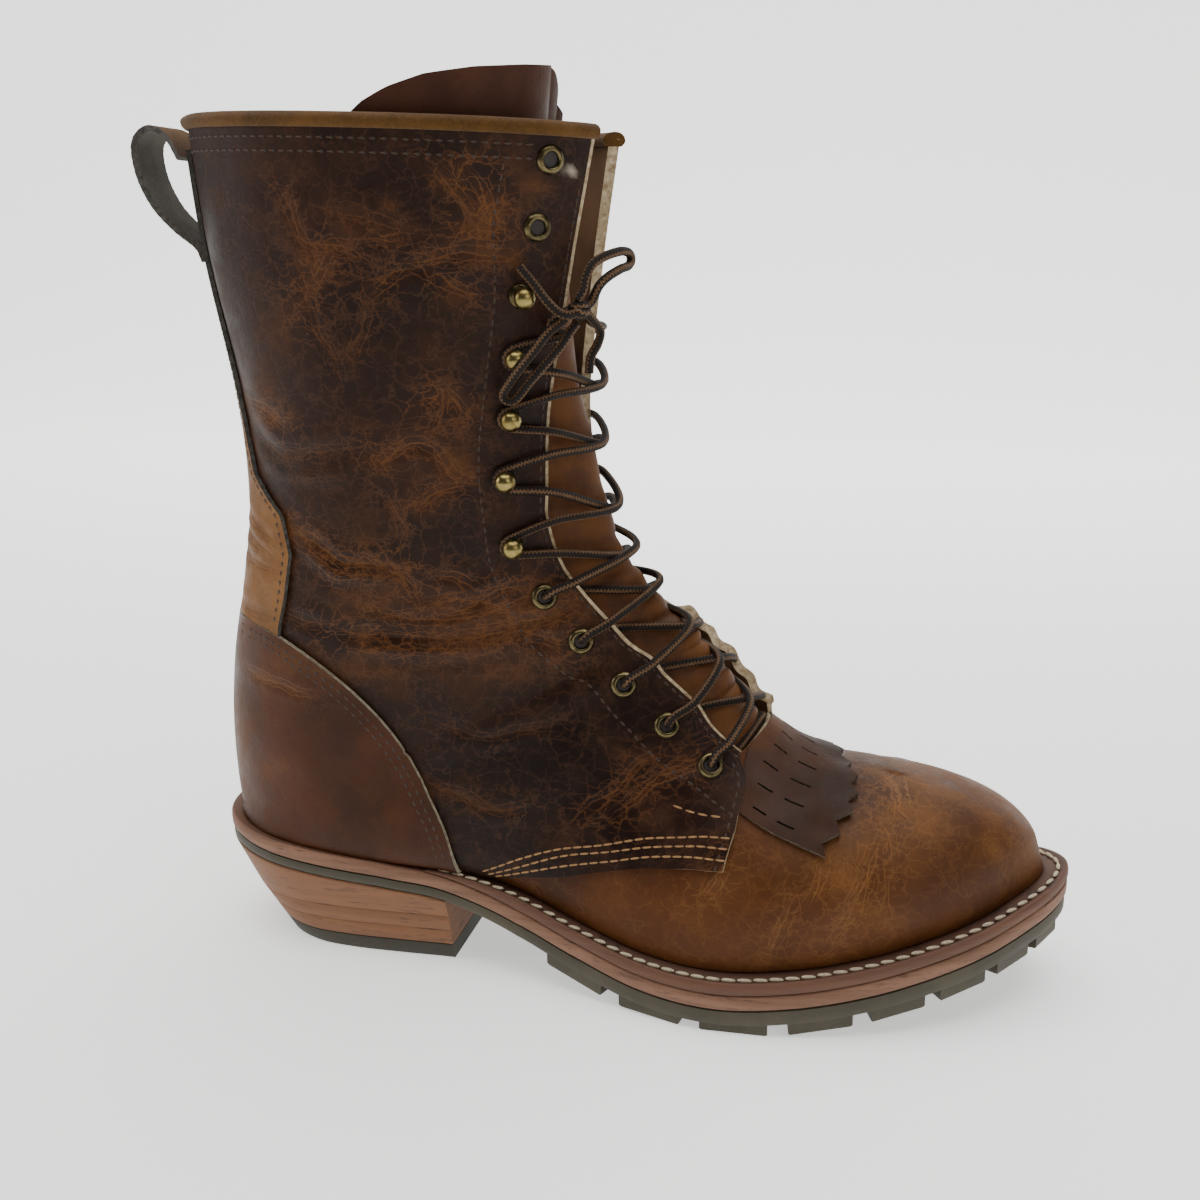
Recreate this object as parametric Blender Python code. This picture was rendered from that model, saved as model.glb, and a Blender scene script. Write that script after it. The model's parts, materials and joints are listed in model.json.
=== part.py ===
"""Lace-up leather boot for the right foot, built as the pieces a maker puts together.

Sizes are millimetres in the boot's own frame: x runs from the back of the heel to the toe, y from
the outer side (negative) to the inner side (positive) and z up from the floor. Meshes are written
in metres, and the whole boot is moved so that the middle of its footprint is the origin.
"""
import math

import bmesh
import bpy
import numpy as np
from mathutils import Vector

MM = 0.001
GAP = 0.3
OVERLAY_GAP = 0.6
BEYOND = 150.0
OUTER, INNER = -1, 1

# Upper: one row for each section, from the collar down the shaft, round the heel and along the foot
# to the toe. A section runs from a point at the back or bottom to a point at the front or top.
COLUMNS = ("back_x", "back_z", "front_x", "front_z", "centre_y", "foot_out", "foot_in", "wide_out",
           "wide_in", "wide_at", "round_low", "round_up")
SECTIONS = (
    (6.0, 295.0, 153.0, 287.5, 0.0, 0.0, 0.0, 46.0, 46.0, 0.48, 2.2, 2.1),
    (10.0, 252.0, 148.0, 246.0, 0.0, 0.0, 0.0, 43.0, 43.0, 0.46, 2.2, 2.0),
    (17.5, 205.0, 144.5, 200.0, 0.0, 0.0, 0.0, 40.0, 40.0, 0.44, 2.1, 1.9),
    (19.0, 168.0, 150.5, 167.0, 0.0, 0.0, 0.0, 38.5, 38.0, 0.42, 2.1, 1.8),
    (14.5, 138.0, 155.0, 151.5, 0.0, 0.0, 0.0, 38.0, 37.5, 0.40, 2.1, 1.8),
    (8.0, 106.0, 161.5, 142.5, 0.0, 0.0, 0.0, 37.5, 36.5, 0.36, 2.1, 1.9),
    (5.2, 76.0, 168.5, 134.0, 0.0, 0.0, 0.0, 37.0, 36.0, 0.33, 2.1, 2.0),
    (6.5, 47.0, 176.0, 127.0, 0.0, 0.0, 0.0, 36.5, 35.5, 0.31, 2.1, 2.0),
    (11.0, 46.3, 181.5, 122.0, 0.0, 17.5, 17.0, 36.5, 35.5, 0.29, 2.1, 2.1),
    (25.0, 44.5, 186.0, 117.0, 0.0, 29.0, 28.5, 36.5, 35.0, 0.25, 2.1, 2.1),
    (45.0, 42.0, 190.5, 112.0, 0.0, 32.5, 31.5, 37.0, 35.0, 0.22, 2.1, 2.1),
    (70.0, 39.8, 195.0, 106.0, 0.0, 33.0, 31.5, 37.5, 34.5, 0.20, 2.1, 2.1),
    (95.0, 38.5, 199.0, 99.0, 0.0, 33.0, 30.0, 38.0, 34.0, 0.19, 2.1, 2.1),
    (120.0, 34.0, 204.0, 92.5, 0.0, 35.5, 28.5, 40.5, 34.5, 0.18, 2.1, 2.1),
    (145.0, 26.0, 210.0, 86.0, 0.0, 41.0, 30.5, 45.0, 37.0, 0.18, 2.1, 2.1),
    (170.0, 20.5, 218.0, 80.8, 0.0, 48.5, 35.5, 51.0, 41.0, 0.19, 2.1, 2.1),
    (195.0, 19.5, 228.0, 77.3, 0.5, 53.5, 41.5, 55.0, 46.0, 0.20, 2.1, 2.1),
    (220.0, 21.5, 240.0, 74.8, 1.0, 52.0, 45.0, 53.5, 48.0, 0.21, 2.1, 2.2),
    (243.0, 25.3, 254.0, 72.3, 1.5, 47.0, 44.0, 48.5, 46.5, 0.22, 2.1, 2.3),
    (262.0, 29.8, 267.5, 69.6, 1.8, 40.0, 38.5, 41.3, 40.5, 0.24, 2.1, 2.4),
    (278.0, 34.2, 279.5, 66.5, 2.0, 31.0, 30.0, 32.2, 31.5, 0.26, 2.1, 2.4),
    (290.0, 38.0, 288.5, 62.8, 2.0, 20.0, 19.5, 21.0, 20.5, 0.28, 2.1, 2.4),
    (298.5, 40.6, 295.0, 57.8, 2.0, 9.3, 9.3, 10.0, 10.0, 0.30, 2.1, 2.4),
    (301.5, 41.6, 298.0, 53.5, 2.0, 0.0, 0.0, 0.0, 0.0, 0.30, 2.1, 2.4),
)
HEEL_ROW = 7
TOE_ROW = len(SECTIONS) - 1
CURVE_POINTS = 97

WALL = 2.4
QUARTER_STEP = 1.4
SHAFT_COLUMNS = 9
HEEL_COLUMNS = 4
WAIST_COLUMNS = 8
TOE_COLUMNS = 11
WING_ROWS = 3
QUARTER_ROWS = 9
END_ROWS_CLOSER = 0.4
TOP_ROWS = 3
STEP_NEAR = 14.6
SHIFT_SPREAD = 5.0

# Throat: half of the opening between the quarters, at each named section.
THROAT_COLUMNS = ("section", "outer_half", "inner_half")
THROAT = ((0.0, 17.0, 17.0), (1.4, 19.5, 17.0), (3.0, 23.0, 17.0), (5.0, 20.3, 15.0),
          (7.0, 18.0, 12.5), (11.0, 18.6, 11.5), (13.4, 21.0, 12.0), (16.0, 24.0, 20.0),
          (19.0, 20.0, 20.0), (21.0, 11.0, 11.0), (22.0, 5.2, 5.6), (23.0, 0.0, 0.0))

# Seams seen from the side, as hand placed points (x, z).
QUARTER_FRONT = ((197.0, 84.0), (200.4, 78.1), (200.7, 74.3), (199.0, 64.0), (196.0, 52.4))
QUARTER_LOWER = ((196.0, 52.4), (185.2, 51.7), (167.7, 49.6), (153.7, 46.5), (139.3, 42.5),
                 (124.3, 40.5), (108.0, 37.0))
COUNTER_TOP = ((8.5, 124.5), (20.0, 124.5), (33.5, 123.0), (46.9, 117.6), (61.1, 108.0), (74.6, 94.7),
               (84.9, 79.8), (91.8, 66.0), (97.2, 54.0), (101.0, 38.0))
# Backstay: half width at each section, as a share of the half section.
BACKSTAY_COLUMNS = ("section", "share")
BACKSTAY = ((0.2, 0.085), (0.75, 0.09), (1.4, 0.10), (2.0, 0.12), (2.7, 0.16), (3.1, 0.25),
            (3.6, 0.275), (4.2, 0.265), (4.55, 0.255))
BACKSTAY_COUNT = 4
BACKSTAY_REACH = 0.45
BACKSTAY_LAP = 0.1
CUT_DEPTH = 3.0
COUNTER_PLACES = 14
COUNTER_REACH = 0.62
COUNTER_THICK = 1.5
BACKSTAY_THICK = 1.3

# Sole: the ledge is how far it stands out past the upper; the welt tapers out at the heel breast.
LEDGE_COLUMNS = ("section", "ledge")
LEDGE = ((7.0, 8.5), (8.0, 7.4), (9.0, 6.2), (12.0, 5.4), (14.0, 6.6), (16.0, 7.2), (19.0, 7.6),
         (23.0, 8.2))
SOLE_STATIONS = 32
WELT_STATIONS = 20
WELT_SEAT = 0.6
WELT_THICK = 4.6
WELT_END_THICK = 1.0
WELT_START_X = 88.0
WELT_FULL_X = 122.0
WELT_TUCK = 2.0
MIDSOLE_THICK = 5.2
RUBBER_HEEL = 4.0
RUBBER_FORE = 5.6
RUBBER_FORE_X = 150.0
LUG_DEPTH = 4.4
LUG_START = 13.6
LUG_COUNT = 8
LUG_FILL = 0.76
LUG_WIDTH = 13.0
LUG_EDGE = 0.8
CENTRE_LUG_COUNT = 5
INSOLE_RISE = 3.5
INSOLE_CLEAR = 2.0
INSOLE_SEAT = 0.8
HEEL_BREAST_X = 95.0
HEEL_SLANT = 0.22
HEEL_TAPER = 0.20
HEEL_CAP_THICK = 6.0
HEEL_LIFTS = 3
HEEL_STATIONS = 11
HEEL_LIFT_GROOVE = 0.35

# Tongue, kiltie, binding and loop.
TONGUE_THICK = 2.0
TONGUE_ROWS = 13
TONGUE_COUNT = 8
TONGUE_END = 14.9
TONGUE_CLEAR = 1.3
TONGUE_LEAN = 16.0
TONGUE_TUCK = 2.4
TONGUE_OUT_TOP, TONGUE_IN_TOP, TONGUE_HALF = 101.0, 22.0, 31.0
TONGUE_RISE = 0.44
KILTIE_THICK = 1.8
KILTIE_COLUMNS = ("across", "section")
KILTIE_FRONT = ((-50.0, 16.7), (-30.0, 16.95), (-19.0, 16.92), (-9.0, 16.7), (0.0, 16.4),
                (22.0, 15.7))
KILTIE_BACK = ((-36.0, 14.75), (-28.0, 14.25), (-21.0, 13.85), (-15.0, 13.7), (8.0, 13.7),
               (14.0, 14.05), (20.0, 14.65), (26.0, 15.15))
KILTIE_ROWS = 3
KILTIE_TEETH = 8
KILTIE_TOOTH = 0.26
BINDING_DROP = 4.2
BINDING_THICK = 1.4
BINDING_SEAT = 0.7
BINDING_RISE = 0.45
LOOP_ROUTE = ((-0.6, 284.0), (-5.0, 291.5), (-11.5, 294.2), (-17.0, 289.5), (-15.5, 280.0),
              (-9.0, 271.0), (-1.6, 263.5), (3.9, 255.0), (6.3, 247.0))
LOOP_WIDTH = 19.0
LOOP_THICK = 2.0

# Fittings on the outer side, as points (x, z) from the bottom of the lacing to the collar.
EYELETS_LOW = ((188.6, 81.3), (173.1, 94.1), (157.9, 107.5), (143.3, 122.5), (131.1, 138.0))
HOOKS = ((120.8, 156.1), (118.9, 178.5), (120.8, 198.7), (122.9, 218.4), (126.3, 237.8))
EYELETS_TOP = ((132.1, 258.8), (136.7, 279.0))
PROFILE_COLUMNS = ("radius", "height")
EYELET_PROFILE = ((2.4, 0.0), (4.5, 0.0), (3.5, 1.0))
HOOK_PROFILE = ((0.0, 0.0), (3.9, 0.0), (3.6, 1.1), (1.8, 1.3), (1.8, 3.6), (3.4, 5.2), (2.2, 7.9),
                (0.0, 8.6))
EYELET_SEGMENTS = 8
HOOK_SEGMENTS = 6
LACE_RADIUS = 1.5
LACE_SIDES = 4
LACE_POINTS = 7
LACE_LIFT = 4.6
LACE_DIP = 4.0
LACE_OVER = 2.0
LACE_PAIR = 1.95
HOOK_CLEAR = 4.5
KNOT_PLACE = (1.26, 0.874, 10.4)
KNOT_HALF = (3.6, 4.4, 4.8)
KNOT_LEAD_RISE = 4.0
CORD_POINTS = 12
# Bow and ends: hand placed route points (x, y, z) from the knot outwards.
BOW_OUTER = ((139.2, -32.6, 228.5), (136.4, -34.8, 225.8), (132.4, -37.7, 220.2),
             (127.6, -39.3, 214.2), (123.2, -37.1, 208.7), (123.5, -35.6, 206.0),
             (126.6, -35.2, 207.5), (134.3, -34.1, 215.1), (139.9, -31.2, 221.7),
             (142.8, -29.2, 226.4))
BOW_INNER = ((149.0, -24.1, 236.1), (151.4, -24.3, 240.5), (153.8, -22.2, 243.2),
             (157.0, -17.1, 245.8), (158.8, -10.0, 247.6), (158.6, -7.4, 249.4),
             (156.5, -14.6, 250.2), (152.8, -21.4, 249.4), (149.7, -25.2, 247.3),
             (147.9, -27.4, 243.4), (147.1, -28.4, 239.4))
END_OUTER = ((139.9, -33.9, 233.2), (137.0, -35.9, 236.6), (132.5, -35.4, 242.2),
             (129.4, -34.7, 245.5), (128.4, -35.5, 246.8))
END_INNER = ((148.1, -22.7, 230.6), (149.9, -17.4, 226.3), (149.1, -17.0, 222.1),
             (147.0, -18.5, 217.7), (146.3, -18.8, 212.5))

COLOURS = {
    "leather": (0.16, 0.06, 0.03, 1.0),
    "vamp": (0.22, 0.09, 0.04, 1.0),
    "suede": (0.34, 0.18, 0.05, 1.0),
    "sole_leather": (0.42, 0.22, 0.13, 1.0),
    "rubber": (0.09, 0.08, 0.06, 1.0),
    "brass": (0.55, 0.42, 0.18, 1.0),
    "lace": (0.06, 0.04, 0.03, 1.0),
    "insole": (0.45, 0.30, 0.18, 1.0),
}


# Section curves and the surface of the upper
def column(name):
    return COLUMNS.index(name)


ROWS = np.array(SECTIONS, dtype=float)
FEATHER = [column("foot_out"), column("foot_in")]
HALVES = FEATHER + [column("wide_out"), column("wide_in")]
ROUND_HEEL = FEATHER + [column("back_x"), column("back_z")]


def section_row(s):
    """Smooth values of every column at section place s."""
    if s < 0.0:
        return ROWS[0] + s * (ROWS[1] - ROWS[0])
    i = min(int(s), TOE_ROW - 1)
    u = s - i
    first = 2.0 * ROWS[0] - ROWS[1] if i == 0 else ROWS[i - 1].copy()
    if i == HEEL_ROW:
        first[ROUND_HEEL] = ROWS[i + 1][ROUND_HEEL]
        first[FEATHER] *= -1.0
    last = ROWS[i + 2].copy() if i + 2 <= TOE_ROW else ROWS[TOE_ROW - 1].copy()
    if i + 2 > TOE_ROW:
        last[HALVES] *= -1.0
    a, b = ROWS[i], ROWS[i + 1]
    return 0.5 * (2.0 * a + (b - first) * u + (2.0 * first - 5.0 * a + 4.0 * b - last) * u ** 2
                  + (3.0 * a - first - 3.0 * b + last) * u ** 3)


CURVES = {}


def section_curve(s, side):
    """Points of one half section, evenly spaced from its back or bottom to its front or top."""
    key = (round(s, 4), side)
    if key in CURVES:
        return CURVES[key]
    row = dict(zip(COLUMNS, section_row(s)))
    ending = "out" if side == OUTER else "in"
    foot = max(row["foot_" + ending], 0.0)
    if s <= HEEL_ROW:
        foot = 0.0
    wide = max(row["wide_" + ending], foot * 1.004, 0.001)
    at, low, up = row["wide_at"], row["round_low"], row["round_up"]
    reach = at / (1.0 - (foot / wide) ** low) ** (1.0 / low)
    start = math.asin(min(1.0, (at / reach) ** (low / 2.0)))
    a = np.linspace(start, 0.0, 60)
    b = np.linspace(0.0, math.pi / 2.0, 90)[1:]
    along = np.concatenate([at - reach * np.sin(a) ** (2.0 / low), at + (1.0 - at) * np.sin(b) ** (2.0 / up)])
    half = np.concatenate([wide * np.abs(np.cos(a)) ** (2.0 / low), wide * np.abs(np.cos(b)) ** (2.0 / up)])
    points = np.stack([row["back_x"] + along * (row["front_x"] - row["back_x"]),
                       row["centre_y"] + side * half,
                       row["back_z"] + along * (row["front_z"] - row["back_z"])], axis=1)
    length = np.concatenate([[0.0], np.cumsum(np.linalg.norm(np.diff(points, axis=0), axis=1))])
    even = np.linspace(0.0, length[-1], CURVE_POINTS)
    curve = np.stack([np.interp(even, length, points[:, k]) for k in range(3)], axis=1)
    CURVES[key] = curve
    return curve


def surface_point(s, t, side):
    """Point of the vamp surface; t runs from the back or bottom (0) to the front or top (1)."""
    if s > TOE_ROW:
        s, side = 2 * TOE_ROW - s, -side
    if t > 1.0:
        t, side = 2.0 - t, -side
    if t < 0.0:
        t, side = (-t, -side) if s <= HEEL_ROW else (0.0, side)
    curve = section_curve(s, side)
    f = t * (CURVE_POINTS - 1)
    i = min(int(f), CURVE_POINTS - 2)
    return curve[i] + (f - i) * (curve[i + 1] - curve[i])


def surface_normal(s, t, side):
    ds, dt = 0.06, 0.02
    along = surface_point(s + ds, t, side) - surface_point(s - ds, t, side)
    if s - ds < HEEL_ROW < s + ds or s == HEEL_ROW:
        along = surface_point(s + ds, t, side) - surface_point(s, t, side)
    across = surface_point(s, t + dt, side) - surface_point(s, t - dt, side)
    normal = np.cross(across, along) * side
    size = np.linalg.norm(normal)
    return normal / size if size > 1e-9 else np.array([0.0, side, 0.0])


def lifted(s, t, side, lift):
    """Point at a distance from the vamp surface; the bottom edge lies on the seat of the sole."""
    if t >= 1.0 or s >= TOE_ROW or (t <= 0.0 and s <= HEEL_ROW):
        side = OUTER
    base = surface_point(s, t, side)
    point = base + lift * surface_normal(s, t, side)
    if s >= HEEL_ROW:
        floor = seat(point[0])
        point[2] = floor if t <= 0.0 else max(point[2], floor)
    return point


def section_length(s, side):
    return float(np.sum(np.linalg.norm(np.diff(section_curve(s, side), axis=0), axis=1)))


SEARCH_S = np.linspace(0.0, TOE_ROW, 24 * 12 + 1)


def place_at(x, z, side):
    """Section place and t of the surface point seen at (x, z) from the side."""
    best = None
    for s in SEARCH_S:
        curve = section_curve(s, side)
        d = (curve[:, 0] - x) ** 2 + (curve[:, 2] - z) ** 2
        k = int(np.argmin(d))
        if best is None or d[k] < best[0]:
            best = (d[k], s, k / (CURVE_POINTS - 1))
    s, t, step_s, step_t = best[1], best[2], 0.06, 0.008
    for _ in range(14):
        options = [(s + i * step_s, t + j * step_t) for i in (-1, 0, 1) for j in (-1, 0, 1)]
        options = [(min(max(i, 0.0), TOE_ROW), min(max(j, 0.0), 1.0)) for i, j in options]
        found = [surface_point(i, j, side) for i, j in options]
        misses = [(p[0] - x) ** 2 + (p[2] - z) ** 2 for p in found]
        s, t = options[int(np.argmin(misses))]
        step_s, step_t = step_s * 0.7, step_t * 0.7
    return s, t


def place_at_half(s, side, half):
    """The t on the upper part of a section where its half width falls to the given size."""
    curve = section_curve(s, side)
    widths = np.abs(curve[:, 1] - section_row(s)[column("centre_y")])
    widest = int(np.argmax(widths))
    if half >= widths[widest]:
        return 0.75
    t = np.linspace(0.0, 1.0, CURVE_POINTS)[widest:]
    return float(np.interp(-half, -widths[widest:], t))


def table_value(table, s, column_number=1):
    places = [row[0] for row in table]
    return float(np.interp(s, places, [row[column_number] for row in table]))


# Meshes
root = None
MATERIALS = {}


def material(kind):
    if kind not in MATERIALS:
        made = bpy.data.materials.new(kind)
        made.use_nodes = True
        shader = made.node_tree.nodes["Principled BSDF"]
        shader.inputs["Base Color"].default_value = COLOURS[kind]
        shader.inputs["Roughness"].default_value = 0.3 if kind == "brass" else 0.6
        shader.inputs["Metallic"].default_value = 1.0 if kind == "brass" else 0.0
        made.diffuse_color = COLOURS[kind]
        MATERIALS[kind] = made
    return MATERIALS[kind]


def clean_mesh(mesh, merge=1e-6):
    work = bmesh.new()
    work.from_mesh(mesh)
    bmesh.ops.remove_doubles(work, verts=work.verts, dist=merge)
    bmesh.ops.dissolve_degenerate(work, edges=work.edges, dist=merge)
    bmesh.ops.recalc_face_normals(work, faces=work.faces)
    bmesh.ops.triangulate(work, faces=work.faces, quad_method="FIXED")
    work.to_mesh(mesh)
    work.free()


def make_object(name, points, faces, kind):
    mesh = bpy.data.meshes.new(name)
    mesh.from_pydata([tuple(float(c) * MM for c in p) for p in points], [], faces)
    mesh.validate()
    clean_mesh(mesh)
    mesh.materials.append(material(kind))
    made = bpy.data.objects.new(name, mesh)
    bpy.context.scene.collection.objects.link(made)
    made.parent = root
    return made


class Sheet:
    """Gathers the outer and inner points of a wall and closes it into one solid."""

    def __init__(self):
        self.points, self.index, self.faces, self.partner = [], {}, [], {}

    def vertex(self, point):
        key = tuple(np.round(point, 3))
        if key not in self.index:
            self.index[key] = len(self.points)
            self.points.append(np.array(point))
        return self.index[key]

    def add_grid(self, outer, inner):
        """Grids of points, row by row; each outer point has the inner point behind it."""
        numbers = []
        for outer_row, inner_row in zip(outer, inner):
            line = []
            for a, b in zip(outer_row, inner_row):
                i = self.vertex(a)
                self.partner[i] = self.vertex(b)
                line.append(i)
            numbers.append(line)
        for r in range(len(numbers) - 1):
            for c in range(len(numbers[r]) - 1):
                ring = [numbers[r][c], numbers[r][c + 1], numbers[r + 1][c + 1], numbers[r + 1][c]]
                face = [v for k, v in enumerate(ring) if v != ring[k - 1]]
                if len(set(face)) >= 3:
                    self.faces.append(face)

    def closed(self):
        """Points and faces of the wall with its back and its rim."""
        edges = {}
        for face in self.faces:
            for k, v in enumerate(face):
                edges.setdefault(tuple(sorted((face[k - 1], v))), []).append((face[k - 1], v))
        every = list(self.faces)
        for face in self.faces:
            turned = face[:1] + face[:0:-1]
            back = [self.partner[v] for v in turned]
            back = [v for k, v in enumerate(back) if v != back[k - 1]]
            if len(set(back)) >= 3:
                every.append(back)
        for uses in edges.values():
            if len(uses) == 1:
                a, b = uses[0]
                ring = [b, a, self.partner[a], self.partner[b]]
                face = [v for k, v in enumerate(ring) if v != ring[k - 1]]
                if len(set(face)) >= 3:
                    every.append(face)
        return self.points, every

    def build(self, name, kind):
        return make_object(name, *self.closed(), kind)


def lathe(profile, segments):
    """Ring or knob around z from points (radius, height); closed where the radius is zero."""
    points, faces, rings = [], [], []
    for radius, height in profile:
        count = 1 if radius == 0.0 else segments
        rings.append(list(range(len(points), len(points) + count)))
        for k in range(count):
            angle = 2.0 * math.pi * k / segments
            points.append((radius * math.cos(angle), radius * math.sin(angle), height))
    closed = profile[0][0] > 0.0
    pairs = list(zip(rings, rings[1:])) + ([(rings[-1], rings[0])] if closed else [])
    for low, high in pairs:
        for k in range(segments):
            n = k + 1
            ring = [low[k % len(low)], low[n % len(low)], high[n % len(high)], high[k % len(high)]]
            faces.append([v for j, v in enumerate(ring) if v != ring[j - 1]])
    return np.array(points), faces


def turned_to(points, origin, normal):
    turn = np.array(Vector((0.0, 0.0, 1.0)).rotation_difference(Vector(normal)).to_matrix())
    return points @ turn.T + np.array(origin)


def smooth_route(route, count):
    """Evenly spaced points of a smooth curve through the route points."""
    route = np.array(route, dtype=float)
    padded = np.vstack([2 * route[0] - route[1], route, 2 * route[-1] - route[-2]])
    dense = []
    for i in range(1, len(padded) - 2):
        p0, p1, p2, p3 = padded[i - 1:i + 3]
        for u in np.linspace(0.0, 1.0, 24, endpoint=False):
            dense.append(0.5 * (2 * p1 + (p2 - p0) * u + (2 * p0 - 5 * p1 + 4 * p2 - p3) * u * u
                                + (3 * p1 - p0 - 3 * p2 + p3) * u ** 3))
    dense = np.array(dense + [route[-1]])
    length = np.concatenate([[0.0], np.cumsum(np.linalg.norm(np.diff(dense, axis=0), axis=1))])
    even = np.linspace(0.0, length[-1], count)
    return np.stack([np.interp(even, length, dense[:, k]) for k in range(dense.shape[1])], axis=1)


def tube(path, radius, sides):
    """Closed tube of flat sides along a path."""
    path = [Vector(p) for p in path]
    points, faces = [], []
    across = None
    for i, p in enumerate(path):
        ahead = (path[min(i + 1, len(path) - 1)] - path[max(i - 1, 0)]).normalized()
        if across is None:
            across = ahead.cross(Vector((0.0, 0.0, 1.0)))
            across = across if across.length > 1e-3 else Vector((0.0, 1.0, 0.0))
        across = (across - ahead * across.dot(ahead)).normalized()
        other = ahead.cross(across)
        for k in range(sides):
            angle = 2.0 * math.pi * k / sides
            points.append(p + radius * (math.cos(angle) * across + math.sin(angle) * other))
    for i in range(len(path) - 1):
        for k in range(sides):
            a, b = i * sides + k, i * sides + (k + 1) % sides
            faces.append([a, b, b + sides, a + sides])
    faces.append(list(range(sides))[::-1])
    faces.append(list(range((len(path) - 1) * sides, len(path) * sides)))
    return [tuple(p) for p in points], faces


def combine(target, points, faces, name, operation):
    """Boolean of an object with a second closed mesh."""
    mesh = bpy.data.meshes.new(name)
    mesh.from_pydata([tuple(float(c) * MM for c in p) for p in points], [], faces)
    clean_mesh(mesh)
    helper = bpy.data.objects.new(name, mesh)
    bpy.context.scene.collection.objects.link(helper)
    helper.parent = root
    step = target.modifiers.new(name, "BOOLEAN")
    step.operation = operation
    step.solver = "EXACT"
    step.object = helper
    bpy.context.view_layer.update()
    joined = bpy.data.meshes.new_from_object(target.evaluated_get(bpy.context.evaluated_depsgraph_get()))
    target.modifiers.clear()
    old = target.data
    target.data = joined
    bpy.data.meshes.remove(old)
    bpy.data.objects.remove(helper)
    bpy.data.meshes.remove(mesh)
    clean_mesh(target.data, 2e-6)


# Upper
def seam_places(points, side):
    return [place_at(x, z, side) for x, z in points]


def column_places():
    shaft = np.linspace(0.0, HEEL_ROW, SHAFT_COLUMNS + 1)
    heel = np.linspace(HEEL_ROW, 9.0, HEEL_COLUMNS + 1)[1:]
    waist = np.linspace(9.0, 15.0, WAIST_COLUMNS + 1)[1:]
    toe = np.linspace(15.0, TOE_ROW, TOE_COLUMNS + 1)[1:]
    return np.concatenate([shaft, heel, waist, toe])


def throat_edge(s, side):
    return place_at_half(s, side, table_value(THROAT, s, 1 if side == OUTER else 2))


GRID = column_places()
STEP = int(np.argmin(np.abs(GRID - STEP_NEAR)))
FRONT_T, FRONT_S = zip(*sorted((t, s) for s, t in seam_places(QUARTER_FRONT, OUTER)))
LOWER_S, LOWER_T = zip(*sorted(seam_places(QUARTER_LOWER, OUTER)))


def seam_t(s):
    """The t of the lower edge of the quarter."""
    return 0.0 if s <= LOWER_S[0] else float(np.interp(s, LOWER_S, LOWER_T))


def row_share(j):
    """Share of the way up the quarter at one of its rows, closer together towards both ends."""
    q = j / QUARTER_ROWS
    return q - END_ROWS_CLOSER * math.sin(2.0 * math.pi * q) / (2.0 * math.pi)


def grid_place(i, side, t_between):
    """Place (s, t) on a column of the upper's grid, the columns near the quarter's front following it."""
    s = GRID[i]
    for _ in range(3):
        t = t_between(seam_t(s), throat_edge(s, side))
        move = float(np.interp(t, FRONT_T, FRONT_S)) - GRID[STEP]
        s = GRID[i] + move * max(0.0, 1.0 - abs(i - STEP) / SHIFT_SPREAD)
    return s, t


def wing_place(i, j, side):
    return grid_place(i, side, lambda low, high: low * j / WING_ROWS)


def quarter_place(i, j, side):
    return grid_place(i, side, lambda low, high: low + (high - low) * row_share(j))


def build_upper():
    sheet = Sheet()
    count = len(GRID)
    entries = [(i, True) for i in range(STEP + 1)] + [(i, False) for i in range(STEP, count)]
    for side in (OUTER, INNER):
        outer, inner = [], []
        for i, quarter in entries:
            wing = [wing_place(i, j, side) for j in range(WING_ROWS + 1)]
            above = [quarter_place(i, j, side) for j in range(QUARTER_ROWS + 1)]
            step = QUARTER_STEP if quarter else 0.0
            wing_step = step if wing[-1][1] == 0.0 else 0.0
            outer.append([lifted(s, t, side, wing_step) for s, t in wing]
                         + [lifted(s, t, side, step) for s, t in above])
            inner.append([lifted(s, t, side, -WALL) for s, t in wing + above])
        sheet.add_grid(outer, inner)

        outer, inner = [], []
        for i in range(STEP, count):
            edge = np.array(quarter_place(i, QUARTER_ROWS, side))
            ridge = np.array((quarter_place(i, QUARTER_ROWS, OUTER)[0], 1.0))
            places = [edge + (ridge - edge) * f for f in np.linspace(0.0, 1.0, TOP_ROWS + 1)]
            outer.append([lifted(s, t, side, 0.0) for s, t in places])
            inner.append([lifted(s, t, side, -WALL) for s, t in places])
        sheet.add_grid(outer, inner)
    return sheet.build("upper", "vamp")


def patch(sheet, places, side, low, high):
    outer = [[lifted(s, t, side, high) for s, t in row] for row in places]
    inner = [[lifted(s, t, side, low) for s, t in row] for row in places]
    sheet.add_grid(outer, inner)


def grid_layer(sheet, columns, reach, thick):
    """Layer of even thickness over part of the upper's own grid, from the back or bottom up."""
    low = QUARTER_STEP + OVERLAY_GAP
    rows = [j for j in range(QUARTER_ROWS + 1) if row_share(j) < reach]
    for side in (OUTER, INNER):
        places = [[quarter_place(i, j, side) for j in rows] for i in columns]
        patch(sheet, places, side, low, low + thick)


def build_counter():
    """Heel counter: a layer over the upper cut to its outline seen from the side."""
    sheet = Sheet()
    seam = [(x, z) for x, z in smooth_route(COUNTER_TOP, COUNTER_PLACES)]
    top, end = place_at(*COUNTER_TOP[0], OUTER)[0], place_at(*COUNTER_TOP[-1], OUTER)[0]
    columns = [i for i in range(1, len(GRID) - 1) if GRID[i + 1] > top and GRID[i - 1] < end]
    grid_layer(sheet, columns, COUNTER_REACH, COUNTER_THICK)
    counter = sheet.build("counter", "leather")
    corners = seam + [(seam[-1][0], -BEYOND), (-BEYOND, -BEYOND), (-BEYOND, seam[0][1])]
    size = len(corners)
    points = [(x, y, z) for y in (-BEYOND, BEYOND) for x, z in corners]
    faces = [list(range(size)), list(range(2 * size - 1, size - 1, -1))]
    for k in range(size):
        n = (k + 1) % size
        faces.append([k, k + size, n + size, n])
    combine(counter, points, faces, "counter_outline", "INTERSECT")
    return counter


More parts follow.
